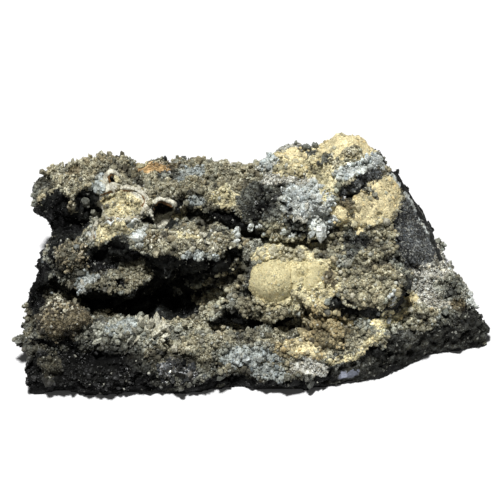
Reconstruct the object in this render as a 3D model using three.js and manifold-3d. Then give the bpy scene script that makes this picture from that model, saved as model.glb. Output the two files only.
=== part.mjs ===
// A cabinet specimen of galena ore: a broken wedge of dark galena and sphalerite, overgrown on its
// upper side with quartz and carbonate druse. It lies on its flat broken back, low at the front and
// high at the rear. The druse, the ledges and the bosses have all grown together with the ore, so
// the whole specimen is one solid and one mesh.
//
// Millimetres, +Z up, +X to the right along the specimen's length, +Y to the rear. The origin is the
// middle of the bounding box, on the surface that the specimen lies on. While it is being shaped,
// y counts from the front foot instead, and the finished solid is moved to the origin at the end.

import * as THREE from "three";
import { mergeVertices } from "three/addons/utils/BufferGeometryUtils.js";
import { ImprovedNoise } from "three/addons/math/ImprovedNoise.js";
import Module from "manifold-3d";

// Driving dimensions.
const CELLS_ALONG = 52; // facets along X
const CELLS_BETWEEN_POINTS = 3; // facets between two points of a section
const END_CELLS = 2; // rings of facets on the two ends
const UNDERSIDE_SINK = 6; // how far the uncut underside reaches below the resting plane
const SHAVE = 400; // side of the block that cuts the underside flat

// Roughness of broken ore: the size of the waves and how far they move the surface.
const COARSE_WAVE = 19;
const COARSE_DEPTH = 2.4;
const FINE_WAVE = 6.5;
const FINE_DEPTH = 1.1;

// x of each point of the section at the left end, which is notched behind the lower ledge.
const leftEnd = [-102, -103, -104, -105, -105, -104, -104, -102, -101, -99, -97, -94, -93, -100, -102, -101, -99];

// The sections that the ore is stretched over, from the left end to the right end. Each one is the
// outline at its x (or at the x of each point), as [y, z] points from the front foot over the top to
// the rear foot:
//   front foot, front lip, back of the front shelf, crest of the front ridge,
//   near and far edge of the hollow behind it, underside and lip of the lower ledge, back of its tread,
//   underside and lip of the upper ledge, back of its tread, foot and lip of the top riser,
//   rear rim, middle of the rear wall, rear foot.
const sections = [
  { x: leftEnd, outline: [
    [2, 0], [4, 6], [10, 9], [20, 11], [30, 12], [38, 13], [42, 15], [46, 17],
    [50, 19], [55, 21], [60, 23], [68, 24], [76, 28], [82, 36], [92, 43], [95.5, 21.5], [96, 0],
  ] },
  { x: -91, outline: [
    [0.5, 0], [4, 10], [15, 14], [27, 19], [38, 16], [47, 14], [49, 17], [50, 24],
    [54, 26], [57, 29], [62, 31], [70, 27], [74, 34], [77, 46], [95, 47], [98.5, 23.5], [99, 0],
  ] },
  { x: -78, outline: [
    [-0.5, 0], [2.5, 10], [14, 14], [28, 20], [37, 13], [51, 10], [43, 17], [41, 26],
    [54, 29], [58, 28], [60, 33], [66, 35], [73, 36], [76, 48], [98, 49], [101.5, 24.5], [102, 0],
  ] },
  { x: -64, outline: [
    [-1, 0], [2.5, 9.5], [13, 14], [23, 20], [33, 11], [52, 9], [42, 15], [40.5, 26.5],
    [54, 29], [56, 32], [58, 38], [66, 46], [73, 48], [80, 50], [101, 51], [103.5, 25.5], [103, 0],
  ] },
  { x: -50, outline: [
    [1, 0], [3.5, 10], [12, 14], [22, 19], [31, 10], [54, 8], [45, 17], [44, 26],
    [52, 28], [52, 34], [50, 41], [62, 42], [66, 42], [70, 47], [101, 46], [103, 23], [102, 0],
  ] },
  { x: -36, outline: [
    [2.5, 0], [4, 8.5], [12, 13], [17, 14], [26, 9], [58, 8], [59, 13], [56, 17],
    [52, 18], [48, 20], [46.5, 42], [64, 42], [68, 39], [71, 46], [101, 46], [103, 23], [102, 0],
  ] },
  { x: -22, outline: [
    [2.5, 0], [4.5, 8.5], [13, 13], [19, 15], [28, 10], [38, 9], [36, 14], [40, 22],
    [54, 20], [50, 26], [46.5, 42], [64, 42], [68, 39], [71, 47], [101, 49], [103, 24.5], [102, 0],
  ] },
  { x: -9, outline: [
    [4.5, 0], [7.5, 11], [16, 15], [22, 16], [28, 11], [37, 9], [34, 14], [36, 24],
    [47, 25], [52, 29], [55, 35], [62, 38], [67, 40], [70, 47], [100, 46], [102, 23], [101, 0],
  ] },
  { x: 1, outline: [
    [3, 0], [5.5, 9.5], [19, 16], [23, 17], [29, 12], [37, 11], [32, 14], [35, 24],
    [38, 25], [39, 29], [49, 36], [61, 35], [60, 43], [69, 51], [99, 45], [101.5, 22.5], [101, 0],
  ] },
  { x: 15, outline: [
    [1.5, 0], [4, 9], [15, 14], [21, 16], [27, 12], [35, 10], [31, 13], [35, 24],
    [37, 25], [38, 29], [50, 37], [61, 37], [58, 43], [70, 57], [101, 56], [103, 28], [102, 0],
  ] },
  { x: 28, outline: [
    [3, 0], [6, 9.5], [11, 13], [17, 15], [25, 18], [31, 21], [33, 24], [34, 27],
    [38, 32], [44, 36], [50, 38], [61, 38], [57, 43], [66, 56], [101, 58], [103, 29], [102, 0],
  ] },
  { x: 41, outline: [
    [7.5, 0], [10.5, 8], [14, 11], [18, 15], [24, 18], [29, 20], [29, 25], [28, 30],
    [31, 34], [38, 38], [47, 40.5], [56, 42], [64, 47], [73, 60], [101, 65], [103.5, 32.5], [103, 0],
  ] },
  { x: 54, outline: [
    [9.5, 0], [12, 8], [15, 15], [20, 19], [27, 21], [31, 22], [27, 26], [24, 30],
    [27, 35], [35, 39], [46, 41.5], [56, 42], [62, 47], [73, 56], [97, 62.5], [101.5, 31.2], [103, 0],
  ] },
  { x: 66, outline: [
    [14.5, 0], [17, 8], [21, 15.5], [26, 19], [32, 21], [36, 22], [38, 24], [40, 27],
    [44, 30], [49, 33], [54, 35.5], [60, 38], [66, 42], [74, 47.5], [89, 51], [96, 25.5], [100, 0],
  ] },
  { x: 78, outline: [
    [19, 0], [22, 9], [26, 17], [30, 19], [34, 20], [38, 20.5], [42, 21.5], [46, 23],
    [50, 24.5], [54, 26.5], [58, 28.5], [62, 30.5], [66, 32.5], [71, 35], [79, 37], [87.5, 18.5], [93, 0],
  ] },
  { x: 90, outline: [
    [24, 0], [27, 8], [31, 15], [34, 17], [37, 18], [40, 18], [43, 18], [46, 18],
    [49, 18], [52, 18], [54, 18], [56, 17.5], [58, 17], [60, 17], [64, 16], [71, 8], [75, 0],
  ] },
  { x: 101, outline: [
    [27, 0], [29, 4], [31, 8], [33, 10.5], [34.5, 12], [36, 12.5], [37, 13], [38, 13],
    [39, 13], [40, 13], [41, 13], [42, 12.5], [43.5, 12], [45, 11], [48, 10], [50.8, 5], [53, 0],
  ] },
  { x: 106.5, outline: [
    [31, 0], [31.5, 2], [32, 3], [32.5, 4], [33, 5], [33.5, 6], [34, 6.5], [34.5, 7],
    [35, 7], [35.5, 7], [36, 7], [36.5, 6.5], [37, 6], [37.5, 5], [38, 3], [38.8, 1.5], [39, 0],
  ] },
];

// What stands on the ore: nodules, bosses and blocks. `at` is the middle and `half` the half sizes.
const growths = {
  furNodule: { at: [-84, 59, 24], half: [10, 9, 10], detail: 2 },
  leftNodule: { at: [-86, 27, 13], half: [14, 11, 11] },
  frontLeftRidge: { at: [-58, 24, 12], half: [19, 9, 9], faces: 8 },
  upperLedgeEnd: { at: [-15, 56, 36], half: [10, 9, 9], square: 3, faces: 8, detail: 2 },
  middleRidge: { at: [4, 36, 17], half: [17, 8, 9], turn: -6, faces: 8, detail: 2 },
  creamBoss: { at: [9, 46, 24], half: [14, 13, 13], rough: 0.2 },
  creamBossRight: { at: [26, 45, 25], half: [12, 13, 12], rough: 0.5 },
  creamTongue: { at: [33, 28, 9], half: [13, 16, 12], turn: -14, square: 2.6, detail: 2 },
  quartzBrow: { at: [24, 66, 45], half: [15, 11, 12], tip: 12, faces: 12, square: 3 },
  knob: { at: [54, 40, 30], half: [16, 15, 12], square: 3, faces: 8 },
  peak: { at: [46, 92, 54], half: [11, 10, 12], faces: 8, square: 4, detail: 2 },
  rearRightBlock: { at: [12, 92, 44], half: [12, 9, 13], faces: 8, square: 4, detail: 2 },
};

// What is open: the cleft under the upper ledge, pits and notches.
const clefts = {
  underUpperLedge: { at: [-32, 42, 18], half: [24, 12, 10], faces: 6, tip: 10 },
  vug: { at: [-61, 72, 51], half: [7, 5, 5], detail: 2 },
  blackHole: { at: [-74, 71, 42], half: [5, 6, 8], detail: 2 },
  rearPit: { at: [-34, 70, 44], half: [13, 4, 6], turn: -3, detail: 2 },
};

const wasm = await Module();
wasm.setup();
const perlin = new ImprovedNoise();

const point = (x, y, z) => new THREE.Vector3(x, y, z);

// A vector of smooth noise at a place, each part of it between about -1 and 1.
function wave(place, size) {
  const at = (shift) => perlin.noise(place.x / size + shift, place.y / size - shift, place.z / size + 2 * shift);
  return point(at(3.7), at(11.3), at(19.1)).multiplyScalar(1.6);
}

// Moves a point of the surface as broken ore is rough. A smooth druse boss takes less of it.
function roughen(place, share = 1) {
  const coarse = wave(place, COARSE_WAVE).multiplyScalar(COARSE_DEPTH * share);
  const fine = wave(place, FINE_WAVE).multiplyScalar(FINE_DEPTH * share);
  return place.add(coarse).add(fine);
}

// Moves every vertex of a geometry to where the function puts it.
function reshape(geometry, move) {
  const places = geometry.getAttribute("position");
  const place = new THREE.Vector3();
  for (let i = 0; i < places.count; i++) {
    const moved = move(place.fromBufferAttribute(places, i));
    places.setXYZ(i, moved.x, moved.y, moved.z);
  }
  return geometry;
}

// A closed geometry as a solid for joining and cutting.
function solidOf(geometry) {
  const bare = geometry.clone();
  bare.deleteAttribute("normal");
  bare.deleteAttribute("uv");
  const merged = mergeVertices(bare, 1e-4);
  return new wasm.Manifold(
    new wasm.Mesh({
      numProp: 3,
      vertProperties: merged.getAttribute("position").array,
      triVerts: new Uint32Array(merged.index.array),
    }),
  );
}

// The solid as a flat-shaded three.js geometry.
function geometryOf(solid) {
  const { vertProperties, triVerts } = solid.getMesh();
  const geometry = new THREE.BufferGeometry()
    .setAttribute("position", new THREE.BufferAttribute(vertProperties, 3))
    .setIndex(new THREE.BufferAttribute(triVerts, 1))
    .toNonIndexed();
  geometry.computeVertexNormals();
  return geometry;
}

// The ore: a box whose top is stretched over the sections and whose underside spans their feet.
function ore() {
  const pointsAcross = sections[0].outline.length;
  const rails = Array.from({ length: pointsAcross }, (_, k) => {
    const along = sections.map(({ x, outline }) => point(x[k] ?? x, ...outline[k]));
    return new THREE.CatmullRomCurve3(along, false, "catmullrom", 0.5);
  });
  const cellsAcross = (pointsAcross - 1) * CELLS_BETWEEN_POINTS;
  const outlines = Array.from({ length: CELLS_ALONG + 1 }, (_, i) => {
    const around = rails.map((rail) => rail.getPoint(i / CELLS_ALONG));
    return new THREE.CatmullRomCurve3(around, false, "centripetal");
  });
  const block = new THREE.BoxGeometry(1, 1, 1, CELLS_ALONG, cellsAcross, END_CELLS);
  reshape(block, (p) => {
    const [s, t, up] = [p.x + 0.5, p.y + 0.5, p.z + 0.5];
    const outline = outlines[Math.round(s * CELLS_ALONG)];
    const low = outline.points[0].clone().lerp(outline.points.at(-1), t);
    low.z -= UNDERSIDE_SINK;
    return roughen(low.lerp(outline.getPoint(t), up));
  });
  return solidOf(block);
}

// How far a lump reaches in a direction, as a share of its half size: a ball that grows squarer with
// `square`, held back by planes that leave flat broken faces.
function reach(direction, square, planes) {
  const [x, y, z] = direction.toArray().map(Math.abs);
  let far = (x ** square + y ** square + z ** square) ** (-1 / square);
  for (const { normal, away } of planes) {
    const facing = direction.dot(normal);
    if (facing > 0) far = Math.min(far, away / facing);
  }
  return far;
}

// Evenly strewn cutting planes for one lump. The same seed gives the same planes.
function breakPlanes(count, seed) {
  return Array.from({ length: count }, (_, i) => {
    const height = 1 - (2 * (i + 0.5)) / count;
    const around = 2.399963 * i + seed * 1.7;
    const ring = Math.sqrt(1 - height * height);
    const normal = point(ring * Math.cos(around), ring * Math.sin(around), height);
    return { normal, away: 0.86 + 0.12 * Math.sin(seed * 5.1 + i * 2.3) };
  });
}

// A block, boss or nodule. Angles are in degrees: `turn` about +Z, `tip` about +X.
function lump({ at, half, turn = 0, tip = 0, square = 2.4, faces = 0, rough = 0.6, detail = 3 }, seed) {
  const planes = breakPlanes(faces, seed);
  const size = point(...half);
  const centre = point(...at);
  const degrees = THREE.MathUtils.degToRad;
  const pose = new THREE.Quaternion().setFromEuler(new THREE.Euler(degrees(tip), 0, degrees(turn), "XYZ"));
  const ball = new THREE.IcosahedronGeometry(1, detail);
  reshape(ball, (p) => {
    const direction = p.clone().normalize();
    const place = direction.clone().multiplyScalar(reach(direction, square, planes)).multiply(size);
    return roughen(place.applyQuaternion(pose).add(centre), rough);
  });
  return solidOf(ball);
}

const all = (table, firstSeed) =>
  Object.values(table).map((facts, i) => lump(facts, firstSeed + i));

let specimen = ore();
for (const growth of all(growths, 1)) specimen = specimen.add(growth);
for (const cleft of all(clefts, 31)) specimen = specimen.subtract(cleft);

// The back is broken flat: everything below the resting plane goes.
const shave = new THREE.BoxGeometry(SHAVE, SHAVE, SHAVE).translate(0, 0, -SHAVE / 2);
specimen = specimen.subtract(solidOf(shave));

const geometry = geometryOf(specimen);
geometry.computeBoundingBox();
const middle = geometry.boundingBox.getCenter(new THREE.Vector3());
geometry.translate(-middle.x, -middle.y, -geometry.boundingBox.min.z);

const mesh = new THREE.Mesh(
  geometry,
  new THREE.MeshStandardMaterial({ color: 0x77705c, roughness: 0.85, metalness: 0.1 }),
);
mesh.name = "specimen";

const group = new THREE.Group();
group.add(mesh);

export default group;
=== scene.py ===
"""Galena specimen: a block of dark ore, grown over with quartz and carbonate druse.

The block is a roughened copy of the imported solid. Its skin is painted with named coats, and every
crystal grows from the coat below it. Lengths in the code are millimetres until a mesh is made.
"""

import itertools
import math
from collections import namedtuple

import bpy
import numpy as np
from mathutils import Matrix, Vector
from mathutils.bvhtree import BVHTree


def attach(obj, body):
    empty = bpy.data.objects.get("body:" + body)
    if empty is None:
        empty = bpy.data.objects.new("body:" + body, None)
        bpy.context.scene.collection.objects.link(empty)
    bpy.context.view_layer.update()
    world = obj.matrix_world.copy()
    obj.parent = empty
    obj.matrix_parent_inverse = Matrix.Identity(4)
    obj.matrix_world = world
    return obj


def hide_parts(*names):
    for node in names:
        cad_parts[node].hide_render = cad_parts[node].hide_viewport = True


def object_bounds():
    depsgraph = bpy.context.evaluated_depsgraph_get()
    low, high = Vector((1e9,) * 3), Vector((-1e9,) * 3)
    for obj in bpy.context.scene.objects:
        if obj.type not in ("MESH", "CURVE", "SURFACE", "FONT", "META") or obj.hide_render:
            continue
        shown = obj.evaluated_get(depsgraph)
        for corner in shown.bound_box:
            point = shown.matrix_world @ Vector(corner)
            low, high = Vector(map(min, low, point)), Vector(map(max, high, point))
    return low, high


bl_info = {
    "name": "Galena specimen",
    "version": (1, 0, 0),
    "blender": (4, 5, 0),
    "location": "View3D > Sidebar > Specimen",
    "description": "Builds a galena hand specimen, its druse and its studio stage",
    "category": "Object",
}

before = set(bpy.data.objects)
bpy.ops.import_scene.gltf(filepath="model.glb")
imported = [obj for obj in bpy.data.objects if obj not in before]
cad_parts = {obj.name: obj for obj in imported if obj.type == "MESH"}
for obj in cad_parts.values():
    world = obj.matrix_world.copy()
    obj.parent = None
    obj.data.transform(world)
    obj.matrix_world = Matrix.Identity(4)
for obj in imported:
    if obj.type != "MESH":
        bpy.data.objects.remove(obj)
CAD_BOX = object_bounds()

# The imported solid and the body it moves with, and one millimetre in metres.
NODE = "specimen"
BODY = "root"
MM = 0.001


# ---------------------------------------------------------------- noise

# The random cells along each axis before a noise repeats, and how far each seed shifts the noise and the
# cells, so that no two line up.
LATTICE = 32
NOISE_SHIFT = 0.37
CELL_SHIFT = 0.61
# How far three octaves of noise commonly reach when they are added up.
OCTAVE_REACH = 1.3


def smooth_noise(points, wavelength, seed):
    """Soft hills between -1 and 1, about one wavelength apart."""
    table = np.random.default_rng(seed).uniform(-1.0, 1.0, (LATTICE,) * 3)
    scaled = points / wavelength + NOISE_SHIFT * seed
    corner = np.floor(scaled).astype(int)
    part = scaled - corner
    part = part * part * (3.0 - 2.0 * part)
    total = np.zeros(len(points))
    for step in itertools.product((0, 1), repeat=3):
        weight = np.prod(np.where(step, part, 1.0 - part), axis=1)
        x, y, z = ((corner + step) % LATTICE).T
        total += weight * table[x, y, z]
    return total


def rough_noise(points, wavelength, seed):
    """Three octaves of smooth noise, between about -1 and 1."""
    total = np.zeros(len(points))
    for octave, share in enumerate((1.0, 0.5, 0.25)):
        total += share * smooth_noise(points, wavelength * share, seed + octave)
    return total / OCTAVE_REACH


def wander(points, noise, wavelength, seed):
    """A shift for each point that changes slowly over the skin, from one noise along each axis."""
    return np.stack([noise(points, wavelength, seed + axis) for axis in range(3)], axis=1)


def nearest_cells(points, size, seed):
    """The nearest spot of a jittered grid: the way to it, how many sizes off it is, and its cell number."""
    jitter = np.random.default_rng(seed).uniform(0.1, 0.9, (LATTICE,) * 3 + (3,))
    scaled = points / size + CELL_SHIFT * seed
    corner = np.floor(scaled).astype(int)
    best = np.full(len(points), np.inf)
    way = np.zeros_like(points)
    cell = np.zeros(len(points), int)
    for step in itertools.product((-1, 0, 1), repeat=3):
        x, y, z = ((corner + step) % LATTICE).T
        offset = corner + step + jitter[x, y, z] - scaled
        distance = np.linalg.norm(offset, axis=1)
        closer = distance < best
        best[closer] = distance[closer]
        way[closer] = offset[closer]
        cell[closer] = ((x * LATTICE + y) * LATTICE + z)[closer]
    return way * size, best, cell


def broken_relief(points, size, slope, seed):
    """Flat facets tilted at random, as on broken ore."""
    way, _, cell = nearest_cells(points, size, seed)
    tilts = np.random.default_rng(seed + 1).uniform(-slope, slope, (LATTICE**3, 3))
    return np.einsum("ij,ij->i", way, tilts[cell])


def knobbly_relief(points, size, depth, seed):
    """Rounded knobs side by side, some taller than others, as on a crust."""
    _, distance, cell = nearest_cells(points, size, seed)
    heights = np.random.default_rng(seed + 1).uniform(0.3, 1.5, LATTICE**3)
    return depth * (heights[cell] * (1.0 - 1.6 * distance**2) - 0.35)


# ---------------------------------------------------------------- coats

# A coat: its mineral colour, its darkest crystals as a tint of it, how even it is, its share of pale flecks
# (pale grains, and on the black ore painted glints) and of scattered pits, its share of near-black painted
# pinholes and of dark crystals, the least light level that painted shade leaves it, and the kind of relief
# it lies on.
Coat = namedtuple("Coat", "name colour dark even flecks pits pinholes least relief")
COATS = [
    Coat("sphalerite", "sphalerite", (0.30, 0.30, 0.30), 0.0, 0.012, 0.6, 0.0, 0.0, "broken"),
    Coat("smooth_ore", "sphalerite", (0.40, 0.40, 0.40), 0.3, 0.0, 0.0, 0.0, 0.0, "smooth"),
    Coat("flecked_ore", "flecked_ore", (0.22, 0.22, 0.21), 0.0, 0.05, 1.0, 0.0, 0.22, "rugged"),
    Coat("slate_ore", "slate_ore", (0.16, 0.16, 0.17), 0.0, 0.16, 0.5, 0.0, 0.3, "smooth"),
    Coat("grey_druse", "grey_quartz", (0.42, 0.42, 0.38), 0.0, 0.07, 1.0, 0.0, 0.2, "knobbly"),
    Coat("dark_druse", "dark_quartz", (0.35, 0.35, 0.35), 0.0, 0.006, 1.0, 0.0, 0.04, "knobbly"),
    Coat("peppered_druse", "pale_quartz", (0.50, 0.50, 0.46), 0.1, 0.02, 1.0, 1.0, 0.72, "lumpy"),
    Coat("tan_druse", "tan_carbonate", (0.48, 0.46, 0.39), 0.0, 0.06, 1.0, 0.0, 0.2, "knobbly"),
    Coat("brown_druse", "brown_carbonate", (0.42, 0.38, 0.30), 0.0, 0.03, 1.0, 0.0, 0.15, "knobbly"),
    Coat("cream_crust", "cream_carbonate", (0.58, 0.54, 0.44), 0.25, 0.05, 0.8, 0.4, 0.42, "knobbly"),
    Coat("clean_cream", "cream_carbonate", (0.66, 0.62, 0.52), 0.4, 0.05, 0.5, 0.4, 0.58, "knobbly"),
    Coat("ochre_crust", "ochre_carbonate", (0.54, 0.47, 0.34), 0.25, 0.04, 0.8, 0.3, 0.36, "knobbly"),
    Coat("yellow_dome", "dome_carbonate", (0.88, 0.86, 0.80), 1.0, 0.0, 0.0, 0.0, 0.95, "lumpy"),
    Coat("clay_coat", "clay", (0.76, 0.70, 0.58), 0.6, 0.0, 0.6, 0.3, 0.92, "lumpy"),
    Coat("orange_stain", "iron_stain", (0.60, 0.56, 0.50), 0.2, 0.05, 0.8, 1.0, 0.7, "knobbly"),
    Coat("white_quartz", "milky_quartz", (0.62, 0.65, 0.64), 0.5, 0.0, 0.5, 0.0, 0.7, "knobbly"),
    Coat("white_crust", "milky_quartz", (0.62, 0.64, 0.62), 0.5, 0.0, 0.4, 0.0, 0.85, "smooth"),
    Coat("blue_crust", "blue_quartz", (0.60, 0.62, 0.62), 0.5, 0.03, 0.5, 0.0, 0.72, "knobbly"),
    Coat("shell_crust", "shell_carbonate", (0.62, 0.58, 0.50), 0.4, 0.0, 0.0, 0.0, 0.85, "smooth"),
    Coat("cleaved_face", "lilac_face", (0.80, 0.80, 0.80), 0.9, 0.0, 0.0, 0.0, 1.0, "smooth"),
    Coat("bead_crust", "bead_carbonate", (0.46, 0.43, 0.36), 0.0, 0.06, 1.0, 0.0, 0.2, "knobbly"),
    Coat("galena", "galena", (0.28, 0.29, 0.30), 0.0, 0.0, 0.5, 0.0, 1.0, "broken"),
]
COAT_NUMBER = {coat.name: number for number, coat in enumerate(COATS)}

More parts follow.
